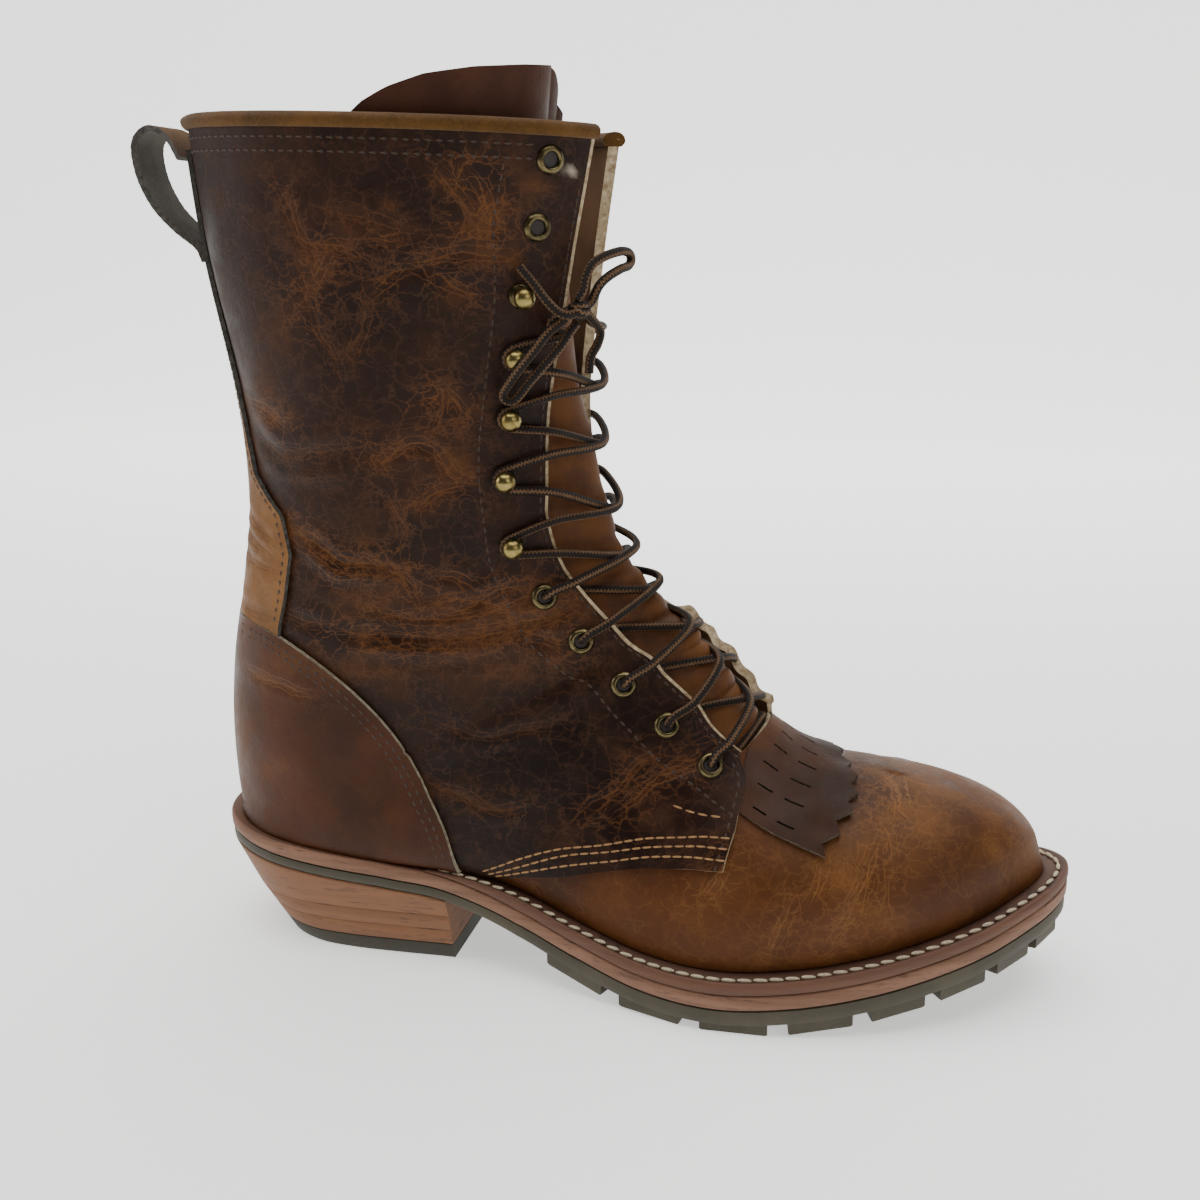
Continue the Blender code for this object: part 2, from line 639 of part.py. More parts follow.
def build_backstay():
    """Strip down the back from the collar to the counter: a layer over the upper cut to its width."""
    sheet = Sheet()
    first, last = BACKSTAY[0][0], BACKSTAY[-1]
    columns = [i for i in range(len(GRID)) if GRID[i] < last[0] + 1.0]
    grid_layer(sheet, columns, BACKSTAY_REACH, BACKSTAY_THICK)
    backstay = sheet.build("backstay", "leather")
    seam_s, along_t = zip(*seam_places(COUNTER_TOP[:5], OUTER))
    low = QUARTER_STEP + OVERLAY_GAP
    shares = np.linspace(0.0, 1.0, BACKSTAY_COUNT)
    ends = np.interp(last[1] * shares, along_t, seam_s) - BACKSTAY_LAP
    rows = [[(s, q * table_value(BACKSTAY, s)) for q in shares] for s, _ in BACKSTAY[:-1]]
    rows.append(list(zip(ends, last[1] * shares)))
    cutter = Sheet()
    for side in (OUTER, INNER):
        patch(cutter, rows, side, low - CUT_DEPTH, low + BACKSTAY_THICK + CUT_DEPTH)
    combine(backstay, *cutter.closed(), "backstay_outline", "INTERSECT")
    return backstay


def build_binding():
    """Folded strip over the collar edge, from one throat edge round the back to the other."""
    top_lift, bottom_lift = QUARTER_STEP + BINDING_SEAT, -WALL - BINDING_SEAT
    crown = BINDING_THICK + BINDING_RISE + 0.5
    loop = ((bottom_lift, -BINDING_DROP), (bottom_lift, BINDING_RISE), (top_lift, BINDING_RISE),
            (top_lift, -BINDING_DROP), (top_lift + BINDING_THICK, -BINDING_DROP),
            (top_lift + BINDING_THICK, 0.6), (top_lift, crown), (bottom_lift, crown),
            (bottom_lift - BINDING_THICK, 0.6), (bottom_lift - BINDING_THICK, -BINDING_DROP))
    ring = []
    stations = 2 * QUARTER_ROWS
    for k in range(stations + 1):
        side = OUTER if k < QUARTER_ROWS else INNER
        t = row_share(abs(k - QUARTER_ROWS)) * throat_edge(0.0, side)
        line = []
        for lift, height in loop:
            normal = surface_normal(0.0, t, side)
            level = np.array([normal[0], normal[1], 0.0]) / np.linalg.norm(normal[:2])
            down = surface_point(0.3, t, side) - surface_point(0.0, t, side)
            down = down / abs(down[2])
            line.append(surface_point(0.0, t, side) + lift * level - height * down)
        ring.append(line)
    points = [p for line in ring for p in line]
    size = len(loop)
    faces = []
    for k in range(stations):
        for j in range(size):
            a, b = k * size + j, k * size + (j + 1) % size
            faces.append([a, b, b + size, a + size])
    faces.append(list(range(size)))
    faces.append(list(range(len(points) - size, len(points))))
    return make_object("collar_binding", points, faces, "suede")


def build_loop():
    """Pull loop: a flat strap bent out from the back of the collar."""
    line = smooth_route(LOOP_ROUTE, 22)
    points, faces = [], []
    for i, (x, z) in enumerate(line):
        ahead = line[min(i + 1, len(line) - 1)] - line[max(i - 1, 0)]
        normal = np.array([-ahead[1], ahead[0]]) / np.linalg.norm(ahead)
        for y in (-LOOP_WIDTH / 2.0, LOOP_WIDTH / 2.0):
            for lift in (-LOOP_THICK / 2.0, LOOP_THICK / 2.0):
                points.append((x + lift * normal[0], y, z + lift * normal[1]))
    for i in range(len(line) - 1):
        for a, b in ((0, 1), (1, 3), (3, 2), (2, 0)):
            faces.append([4 * i + a, 4 * i + b, 4 * i + 4 + b, 4 * i + 4 + a])
    faces.append([0, 1, 3, 2])
    last = 4 * (len(line) - 1)
    faces.append([last, last + 1, last + 3, last + 2])
    return make_object("pull_loop", points, faces, "suede")


def tongue_lift(s, t):
    """How far the outer face of the tongue lies inside the vamp surface."""
    upper_part = max(0.0, 1.0 - max(s, 0.0) / 2.2)
    middle = min(1.0, max(0.0, (t - 0.62) / 0.3))
    return -(WALL + TONGUE_CLEAR + (TONGUE_TUCK + TONGUE_LEAN * middle ** 2) * upper_part)


def build_tongue():
    sheet = Sheet()
    outer, inner = [], []
    for r in range(TONGUE_ROWS + 1):
        f = r / TONGUE_ROWS
        outer_row, inner_row = [], []
        for c in range(TONGUE_COUNT + 1):
            w = c / TONGUE_COUNT
            start = -TONGUE_RISE * math.sin(math.pi * (0.05 + 0.90 * w)) ** 0.75
            s = start + (TONGUE_END - start) * f ** 1.2
            shaft = min(1.0, max(0.0, s / 3.0))
            out_half = TONGUE_OUT_TOP + (TONGUE_HALF - TONGUE_OUT_TOP) * shaft
            in_half = TONGUE_IN_TOP + (TONGUE_HALF - TONGUE_IN_TOP) * shaft
            reach = -out_half + (out_half + in_half) * w
            side = OUTER if reach < 0.0 else INNER
            t = 1.0 - abs(reach) / section_length(max(s, 0.0), side)
            lift = tongue_lift(s, t)
            outer_row.append(lifted(s, t, side, lift))
            inner_row.append(lifted(s, t, side, lift - TONGUE_THICK))
        outer.append(outer_row)
        inner.append(inner_row)
    sheet.add_grid(outer, inner)
    return sheet.build("tongue", "leather")


def build_kiltie():
    """Fringed leaf over the vamp, with a toothed front edge."""
    sheet = Sheet()
    columns = KILTIE_TEETH * 2
    low = OVERLAY_GAP - 0.1
    outer, inner = [], []
    for r in range(KILTIE_ROWS + 1):
        f = r / KILTIE_ROWS
        outer_row, inner_row = [], []
        for c in range(columns + 1):
            w = c / columns
            front = KILTIE_FRONT[0][0] + (KILTIE_FRONT[-1][0] - KILTIE_FRONT[0][0]) * w
            back = KILTIE_BACK[0][0] + (KILTIE_BACK[-1][0] - KILTIE_BACK[0][0]) * w
            across = back + (front - back) * f
            start, end = table_value(KILTIE_BACK, back), table_value(KILTIE_FRONT, front)
            s = start + (end - start) * f - (KILTIE_TOOTH if r == KILTIE_ROWS and c % 2 else 0.0)
            side = OUTER if across < 0.0 else INNER
            t = 1.0 - abs(across) / section_length(s, side)
            outer_row.append(lifted(s, t, side, low + KILTIE_THICK))
            inner_row.append(lifted(s, t, side, low))
        outer.append(outer_row)
        inner.append(inner_row)
    sheet.add_grid(outer, inner)
    return sheet.build("kiltie", "leather")


# Sole
def seat_curve():
    places = np.linspace(HEEL_ROW, TOE_ROW, 200)
    rows = np.array([section_row(s) for s in places])
    return rows[:, column("back_x")], rows[:, column("back_z")]


SEAT_X, SEAT_Z = seat_curve()


def seat(x):
    """Height of the bottom edge of the upper at a place along the boot."""
    if x > SEAT_X[-1]:
        return float(SEAT_Z[-1] + (x - SEAT_X[-1]) * 0.36)
    return float(np.interp(x, SEAT_X, SEAT_Z))


def welt_thick(x):
    return float(np.interp(x, (WELT_START_X, WELT_FULL_X), (WELT_END_THICK, WELT_THICK)))


def midsole_top(x):
    return seat(x) - GAP - (welt_thick(x) + GAP) * min(1.0, max(0.0, (x - 70.0) / 18.0))


def rubber_top(x):
    return midsole_top(x) - MIDSOLE_THICK - GAP


def rubber_bottom(x):
    return rubber_top(x) - float(np.interp(x, (HEEL_BREAST_X, RUBBER_FORE_X), (RUBBER_HEEL, RUBBER_FORE)))


def feather(s, side):
    row = section_row(s)
    half = max(row[column("foot_out" if side == OUTER else "foot_in")], 0.0)
    return np.array([row[column("back_x")], row[column("centre_y")] + side * half])


def outline(s, side, ledge):
    """Plan point of the sole edge: the bottom edge of the upper moved out by the ledge.

    Where the outline crosses the middle at the heel and the toe it goes on along the other side.
    """
    ds = 0.04
    if s - ds < HEEL_ROW:
        along = feather(s + ds, side) - feather(2 * HEEL_ROW - s + ds, -side)
    elif s + ds > TOE_ROW:
        along = feather(2 * TOE_ROW - s - ds, -side) - feather(s - ds, side)
    else:
        along = feather(s + ds, side) - feather(s - ds, side)
    normal = np.array([along[1], -along[0]]) / np.linalg.norm(along) * -side
    return feather(s, side) + ledge * normal


def ledge_at(s):
    return table_value(LEDGE, s)


def sole_places():
    f = np.linspace(0.0, 1.0, SOLE_STATIONS + 1)
    return HEEL_ROW + (TOE_ROW - HEEL_ROW) * f


def slab(name, kind, places, top, bottom, edge):
    """Layer of the sole between two height functions; edge is how far out from the upper it ends."""
    points, faces, lines = [], [], []
    levels = ((0.0, 0.6), (0.25, 0.0), (1.0, 0.4))
    for s in places:
        line = []
        for side in (OUTER, INNER):
            ring = []
            for level, draw in levels:
                x, y = outline(s, side, edge(s) - draw)
                z = top(x) + (bottom(x) - top(x)) * level
                ring.append(len(points))
                points.append((x, y, z))
            line.append(ring)
        lines.append(line)
    count = len(levels)
    for (a_out, a_in), (b_out, b_in) in zip(lines, lines[1:]):
        for k in range(count - 1):
            faces.append([a_out[k], b_out[k], b_out[k + 1], a_out[k + 1]])
            faces.append([a_in[k], a_in[k + 1], b_in[k + 1], b_in[k]])
        faces.append([a_out[0], a_in[0], b_in[0], b_out[0]])
        faces.append([a_out[-1], b_out[-1], b_in[-1], a_in[-1]])
    first_out, first_in = lines[0]
    last_out, last_in = lines[-1]
    for k in range(count - 1):
        faces.append([first_out[k], first_out[k + 1], first_in[k + 1], first_in[k]])
        faces.append([last_out[k], last_in[k], last_in[k + 1], last_out[k + 1]])
    return make_object(name, points, faces, kind)


def lug_bottom(x):
    return max(rubber_bottom(x) - LUG_DEPTH, 0.0)


def build_outsole():
    sole = slab("outsole", "rubber", sole_places(), rubber_top, rubber_bottom, lambda s: ledge_at(s) - 0.6)
    points, faces = [], []

    def block(corners):
        base = len(points)
        for x, y in corners:
            points.append((x, y, rubber_bottom(x) + 1.6))
        for x, y in corners:
            points.append((x, y, lug_bottom(x)))
        faces.append([base, base + 1, base + 2, base + 3])
        faces.append([base + 7, base + 6, base + 5, base + 4])
        for k in range(4):
            n = (k + 1) % 4
            faces.append([base + k, base + 4 + k, base + 4 + n, base + n])

    step = (TOE_ROW - 0.5 - LUG_START) / LUG_COUNT
    for side in (OUTER, INNER):
        for k in range(LUG_COUNT):
            a = LUG_START + k * step
            b = a + step * LUG_FILL
            edge = [outline(s, side, ledge_at(s) - 0.6 - LUG_EDGE) for s in (a, b)]
            back = [outline(s, side, ledge_at(s) - 0.6 - LUG_EDGE - LUG_WIDTH) for s in (a, b)]
            block([edge[0], edge[1], back[1], back[0]])
    for k in range(CENTRE_LUG_COUNT):
        s = LUG_START + 1.0 + k * 1.15
        reach = 0.42
        a_out, a_in = feather(s, OUTER), feather(s, INNER)
        b_out, b_in = feather(s + 0.6, OUTER), feather(s + 0.6, INNER)
        middle = 0.5 * (a_out + a_in)
        onward = 0.5 * (b_out + b_in)
        block([middle + (a_out - middle) * reach, onward + (b_out - onward) * reach,
               onward + (b_in - onward) * reach, middle + (a_in - middle) * reach])
    combine(sole, points, faces, "lugs", "UNION")
    return sole


def build_welt():
    """Strip from the heel breast round the toe, under the edge of the upper."""
    first = float(np.interp(WELT_START_X, SEAT_X, np.linspace(HEEL_ROW, TOE_ROW, len(SEAT_X))))
    stations = [(s, OUTER) for s in np.linspace(first, TOE_ROW, WELT_STATIONS + 1)]
    stations += [(s, INNER) for s in np.linspace(TOE_ROW, first, WELT_STATIONS + 1)[1:]]
    points, faces = [], []
    for s, side in stations:
        outer = outline(s, side, ledge_at(s))
        edge = outline(s, side, ledge_at(s) - 0.8)
        inner = outline(s, side, -WELT_TUCK)
        ring = ((inner, 1.0), (edge, 1.0), (outer, 0.75), (outer, 0.2), (edge, 0.0), (inner, 0.0))
        for (x, y), level in ring:
            bottom = midsole_top(x) + GAP
            points.append((x, y, bottom + (seat(x) - WELT_SEAT - bottom) * level))
    size = 6
    for k in range(len(stations) - 1):
        for j in range(size):
            a, b = k * size + j, k * size + (j + 1) % size
            faces.append([a, b, b + size, a + size])
    faces.append(list(range(size)))
    faces.append(list(range(len(points) - size, len(points))))
    return make_object("welt", points, faces, "sole_leather")


def build_insole():
    return slab("insole", "insole", sole_places()[::2], lambda x: seat(x) + INSOLE_RISE,
                lambda x: midsole_top(x) + INSOLE_SEAT, lambda s: -WALL - INSOLE_CLEAR)


def heel_ring(z, top_z, inset):
    """Plan of the heel block at a height: the sole's outline drawn in towards the floor."""
    last = float(np.interp(HEEL_BREAST_X, SEAT_X, np.linspace(HEEL_ROW, TOE_ROW, len(SEAT_X))))
    down = 1.0 - z / top_z
    ring = []
    inward = np.linspace(last, HEEL_ROW, HEEL_STATIONS)
    for side, places in ((OUTER, inward), (INNER, inward[-2::-1])):
        for s in places:
            x, y = outline(s, side, ledge_at(s) - inset)
            x = min(x, HEEL_BREAST_X)
            x = HEEL_BREAST_X - (HEEL_BREAST_X - x) * (1.0 - HEEL_SLANT * down)
            ring.append((x, y * (1.0 - HEEL_TAPER * down)))
    return ring


def heel_block(name, kind, heights, top_z):
    """Stack of plan rings; a height is a pair of level and inset, or a function of x for the top."""
    points, faces = [], []
    size = 0
    for height, inset in heights:
        level = top_z if callable(height) else height
        ring = heel_ring(level, top_z, inset)
        size = len(ring)
        for x, y in ring:
            points.append((x, y, height(x) if callable(height) else height))
    for k in range(len(heights) - 1):
        for j in range(size):
            a, b = k * size + j, k * size + (j + 1) % size
            faces.append([a, b, b + size, a + size])
    faces.append(list(range(size)))
    faces.append(list(range(len(points) - size, len(points)))[::-1])
    return make_object(name, points, faces, kind)


def build_heel():
    top_z = rubber_bottom(45.0)
    floor_of_stack = HEEL_CAP_THICK + GAP
    heights = [(lambda x: rubber_bottom(x) - GAP, 0.9)]
    lift = (rubber_bottom(HEEL_BREAST_X) - 1.5 - floor_of_stack) / HEEL_LIFTS
    for k in range(HEEL_LIFTS, 0, -1):
        level = floor_of_stack + lift * k
        if k < HEEL_LIFTS:
            heights.append((level + 0.5, 0.9))
            heights.append((level, 0.9 + HEEL_LIFT_GROOVE))
            heights.append((level - 0.5, 0.9))
    heights.append((floor_of_stack, 0.9))
    stack = heel_block("heel_stack", "sole_leather", heights, top_z)
    cap = heel_block("heel_cap", "rubber", [(HEEL_CAP_THICK, 0.9), (0.8, 0.9), (0.0, 1.6)], top_z)
    return [stack, cap]


# Fittings and laces
def fitting(name, place, side, profile, segments, kind):
    s, t = place
    normal = surface_normal(s, t, side)
    base = surface_point(s, t, side) + (QUARTER_STEP + GAP) * normal
    points, faces = lathe(profile, segments)
    return make_object(name, turned_to(points, base, normal), faces, kind)


def section_step(s, t, side, distance):
    """Change of s that moves a point along the surface by the distance."""
    move = np.linalg.norm(surface_point(s + 0.05, t, side) - surface_point(s - 0.05, t, side))
    return distance * 0.1 / move


def around(s, turn, lift):
    """Point over the upper; the turn runs from the back along the outer side, past 1 on the inner side."""
    if turn <= 1.0:
        return lifted(s, turn, OUTER, lift)
    return lifted(s, 2.0 - turn, INNER, lift)


def strand(start, end, lift_at):
    """Lace path between two places (s, turn), its lift given at each share of the way."""
    start, end = np.array(start), np.array(end)
    return [around(*(start + (end - start) * f), lift_at(f)) for f in np.linspace(0.0, 1.0, LACE_POINTS)]


def under_lift(f):
    """High over the edges of the quarters and low over the middle of the throat."""
    inward = min(1.0, max(0.0, (f - 0.15) / 0.7))
    return LACE_LIFT - LACE_DIP * math.sin(math.pi * inward) ** 2


def over_lift(f):
    return under_lift(f) + LACE_OVER * math.exp(-((f - 0.5) / 0.2) ** 2)


def lace_end(fit, side, upward):
    """Place where a strand starts or stops at a fitting, beside the strand that shares it."""
    (s, t), is_hook = fit
    move = section_step(s, t, side, LACE_PAIR)
    s = s + (-move if upward else move)
    if is_hook:
        t = t + HOOK_CLEAR / section_length(s, side)
    return (s, t) if side == OUTER else (s, 2.0 - t)


def build_laces(fits):
    outer, inner = fits[OUTER], fits[INNER]
    bar = strand(lace_end(outer[0], OUTER, False), lace_end(inner[0], INNER, False), lambda f: LACE_LIFT)
    make_object("lace_bar", *tube(bar, LACE_RADIUS, LACE_SIDES), "lace")
    for k in range(len(outer) - 1):
        low = strand(lace_end(outer[k], OUTER, True), lace_end(inner[k + 1], INNER, False), under_lift)
        high = strand(lace_end(inner[k], INNER, True), lace_end(outer[k + 1], OUTER, False), over_lift)
        crossing = make_object("lace_cross_%d" % (k + 1), *tube(low, LACE_RADIUS, LACE_SIDES), "lace")
        combine(crossing, *tube(high, LACE_RADIUS, LACE_SIDES), "over", "UNION")


def build_knot(fits):
    """Knot of the bow, and the two strands that lead to it from the last hooks."""
    s, t, lift = KNOT_PLACE
    points, faces = lathe(((0.0, -1.0), (0.75, -0.66), (1.0, 0.0), (0.75, 0.66), (0.0, 1.0)), 8)
    make_object("lace_knot", points * np.array(KNOT_HALF) + lifted(s, t, OUTER, lift), faces, "lace")
    reach = (KNOT_HALF[1] + LACE_RADIUS + 2.0 * GAP) / section_length(s, OUTER)

    def rising(f):
        return LACE_LIFT + KNOT_LEAD_RISE * f

    for side, name in ((OUTER, "lace_lead_outer"), (INNER, "lace_lead_inner")):
        path = strand(lace_end(fits[side][-1], side, True), (s, t + side * reach), rising)
        make_object(name, *tube(path, LACE_RADIUS, LACE_SIDES), "lace")


def cord(name, route):
    line = smooth_route(route, CORD_POINTS)
    curve = bpy.data.curves.new(name, "CURVE")
    curve.dimensions = "3D"
    spline = curve.splines.new("POLY")
    spline.points.add(len(line) - 1)
    for point, (x, y, z) in zip(spline.points, line):
        point.co = (x * MM, y * MM, z * MM, 1.0)
    curve.bevel_depth = LACE_RADIUS * MM
    curve.bevel_resolution = 2
    curve.use_fill_caps = True
    curve.materials.append(material("lace"))
    made = bpy.data.objects.new(name, curve)
    bpy.context.scene.collection.objects.link(made)
    made.parent = root


def fitting_place(x, z, side):
    """Place on the outer side, or as far from the throat edge on the inner side."""
    s, t = place_at(x, z, OUTER)
    if side == INNER:
        t = throat_edge(s, INNER) - (throat_edge(s, OUTER) - t)
    return s, t


def build_fittings():
    fits = {OUTER: [], INNER: []}
    for label, side in (("outer", OUTER), ("inner", INNER)):
        for k, (x, z) in enumerate(EYELETS_LOW + EYELETS_TOP):
            place = fitting_place(x, z, side)
            fitting("eyelet_%s_%d" % (label, k + 1), place, side, EYELET_PROFILE, EYELET_SEGMENTS, "brass")
            if k < len(EYELETS_LOW):
                fits[side].append((place, False))
        for k, (x, z) in enumerate(HOOKS):
            place = fitting_place(x, z, side)
            fitting("hook_%s_%d" % (label, k + 1), place, side, HOOK_PROFILE, HOOK_SEGMENTS, "brass")
            fits[side].append((place, True))
    return fits


def centre_on_floor():
    """Move the root so that the middle of the footprint, cords left out, is the origin."""
    low, high = np.full(3, 1e9), np.full(3, -1e9)
    for made in bpy.data.objects:
        if made.type == "MESH" and made.name != "lace_knot":
            points = np.array([tuple(v.co) for v in made.data.vertices])
            low, high = np.minimum(low, points.min(axis=0)), np.maximum(high, points.max(axis=0))
    middle = (low + high) / 2.0
    root.location = (-middle[0], -middle[1], -low[2])
    bpy.context.view_layer.update()


def main():
    global root
    for old in list(bpy.data.objects):
        bpy.data.objects.remove(old)
    root = bpy.data.objects.new("boot", None)
    bpy.context.scene.collection.objects.link(root)
    build_outsole()
    slab("midsole", "sole_leather", sole_places(), midsole_top, lambda x: midsole_top(x) - MIDSOLE_THICK,
         lambda s: ledge_at(s) - 0.2)
    build_welt()
    build_heel()
    build_insole()
    build_upper()
    build_counter()
    build_backstay()
    build_binding()
    build_loop()
    build_tongue()
    build_kiltie()
    fits = build_fittings()
    build_laces(fits)
    build_knot(fits)
    cord("lace_bow_outer", BOW_OUTER)
    cord("lace_bow_inner", BOW_INNER)
    cord("lace_end_outer", END_OUTER)
    cord("lace_end_inner", END_INNER)
    centre_on_floor()


main()
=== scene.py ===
"""Lace-up leather boot for the right foot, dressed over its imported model.

Sizes are millimetres in the boot's own frame: x runs from the back of the heel to the toe, y from
the outer side (negative) to the inner side (positive) and z up from the floor.
"""

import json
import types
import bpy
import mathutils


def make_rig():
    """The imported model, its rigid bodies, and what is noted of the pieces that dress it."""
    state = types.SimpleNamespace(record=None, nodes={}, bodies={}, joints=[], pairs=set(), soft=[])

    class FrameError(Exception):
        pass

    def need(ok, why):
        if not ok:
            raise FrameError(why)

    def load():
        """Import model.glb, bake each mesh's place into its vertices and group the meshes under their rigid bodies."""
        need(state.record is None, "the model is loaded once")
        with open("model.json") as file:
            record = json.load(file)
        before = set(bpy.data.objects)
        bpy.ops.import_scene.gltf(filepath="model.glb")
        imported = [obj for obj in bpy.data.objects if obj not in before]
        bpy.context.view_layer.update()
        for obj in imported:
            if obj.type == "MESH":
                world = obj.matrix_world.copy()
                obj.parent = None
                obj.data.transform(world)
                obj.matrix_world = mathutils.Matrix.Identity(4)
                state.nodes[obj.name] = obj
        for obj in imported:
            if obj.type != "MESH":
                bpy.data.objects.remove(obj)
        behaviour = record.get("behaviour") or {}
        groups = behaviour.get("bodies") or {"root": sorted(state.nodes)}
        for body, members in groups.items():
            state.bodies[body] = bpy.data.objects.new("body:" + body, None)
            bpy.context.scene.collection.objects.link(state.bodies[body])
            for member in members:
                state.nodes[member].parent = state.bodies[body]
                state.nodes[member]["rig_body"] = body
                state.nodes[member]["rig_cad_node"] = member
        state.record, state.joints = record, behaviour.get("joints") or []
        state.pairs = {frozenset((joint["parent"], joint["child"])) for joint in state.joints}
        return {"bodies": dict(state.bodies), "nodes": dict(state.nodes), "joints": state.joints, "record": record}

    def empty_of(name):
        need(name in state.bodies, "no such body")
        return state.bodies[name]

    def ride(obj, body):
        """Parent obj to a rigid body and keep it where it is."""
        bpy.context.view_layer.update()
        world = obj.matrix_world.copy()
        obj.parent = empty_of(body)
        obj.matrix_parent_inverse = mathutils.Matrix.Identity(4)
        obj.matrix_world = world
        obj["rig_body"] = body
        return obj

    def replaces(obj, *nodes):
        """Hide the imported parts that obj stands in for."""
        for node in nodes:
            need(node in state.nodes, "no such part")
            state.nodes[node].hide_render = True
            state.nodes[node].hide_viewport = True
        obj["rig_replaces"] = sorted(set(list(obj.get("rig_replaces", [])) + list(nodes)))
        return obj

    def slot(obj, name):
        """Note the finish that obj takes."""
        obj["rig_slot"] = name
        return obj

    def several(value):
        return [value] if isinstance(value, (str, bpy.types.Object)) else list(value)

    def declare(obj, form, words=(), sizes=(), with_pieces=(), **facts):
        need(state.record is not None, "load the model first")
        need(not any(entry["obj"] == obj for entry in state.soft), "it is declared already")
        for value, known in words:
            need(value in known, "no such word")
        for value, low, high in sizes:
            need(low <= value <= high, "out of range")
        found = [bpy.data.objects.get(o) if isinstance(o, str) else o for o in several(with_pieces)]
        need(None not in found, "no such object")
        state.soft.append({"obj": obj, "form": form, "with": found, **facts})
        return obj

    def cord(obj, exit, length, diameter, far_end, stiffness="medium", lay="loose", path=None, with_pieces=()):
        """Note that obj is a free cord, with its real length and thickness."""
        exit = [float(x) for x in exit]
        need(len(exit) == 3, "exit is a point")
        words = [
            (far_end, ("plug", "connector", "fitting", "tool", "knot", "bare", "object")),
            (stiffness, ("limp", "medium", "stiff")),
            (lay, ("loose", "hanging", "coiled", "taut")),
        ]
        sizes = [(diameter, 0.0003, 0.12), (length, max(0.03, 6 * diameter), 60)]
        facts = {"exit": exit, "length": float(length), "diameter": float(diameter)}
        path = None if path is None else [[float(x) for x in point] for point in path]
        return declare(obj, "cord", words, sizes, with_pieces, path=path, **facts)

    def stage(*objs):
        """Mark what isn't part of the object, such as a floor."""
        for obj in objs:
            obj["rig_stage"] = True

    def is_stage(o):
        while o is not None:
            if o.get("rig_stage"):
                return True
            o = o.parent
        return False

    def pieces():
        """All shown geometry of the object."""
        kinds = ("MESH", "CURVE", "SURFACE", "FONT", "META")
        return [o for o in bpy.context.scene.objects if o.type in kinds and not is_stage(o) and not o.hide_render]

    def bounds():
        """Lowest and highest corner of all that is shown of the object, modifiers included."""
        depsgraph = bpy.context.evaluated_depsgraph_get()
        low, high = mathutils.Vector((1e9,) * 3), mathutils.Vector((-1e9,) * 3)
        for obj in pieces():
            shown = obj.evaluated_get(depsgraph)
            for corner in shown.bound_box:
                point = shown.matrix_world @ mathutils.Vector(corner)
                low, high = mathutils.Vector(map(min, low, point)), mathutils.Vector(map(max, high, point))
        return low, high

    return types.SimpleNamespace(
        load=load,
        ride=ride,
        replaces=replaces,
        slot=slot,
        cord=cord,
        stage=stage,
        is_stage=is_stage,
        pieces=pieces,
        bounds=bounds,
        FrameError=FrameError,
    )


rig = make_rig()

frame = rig.load()
CAD_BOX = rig.bounds()

import json
import math

import bmesh
import bpy
import numpy as np
from mathutils import Matrix, Vector

bl_info = {
    "name": "Lace-up boot",
    "version": (1, 0, 0),
    "blender": (4, 5, 0),
    "location": "View3D > Sidebar > Boot",
    "description": "Leather upper, welted sole, brass fittings and laces of a lace-up boot",
    "category": "Object",
}

MM = 0.001
# The model's frame has the middle of the footprint as its origin.
SHIFT = np.array((-145.77, 3.277, 0.0))
OUTER, INNER = -1, 1
BODY = "root"

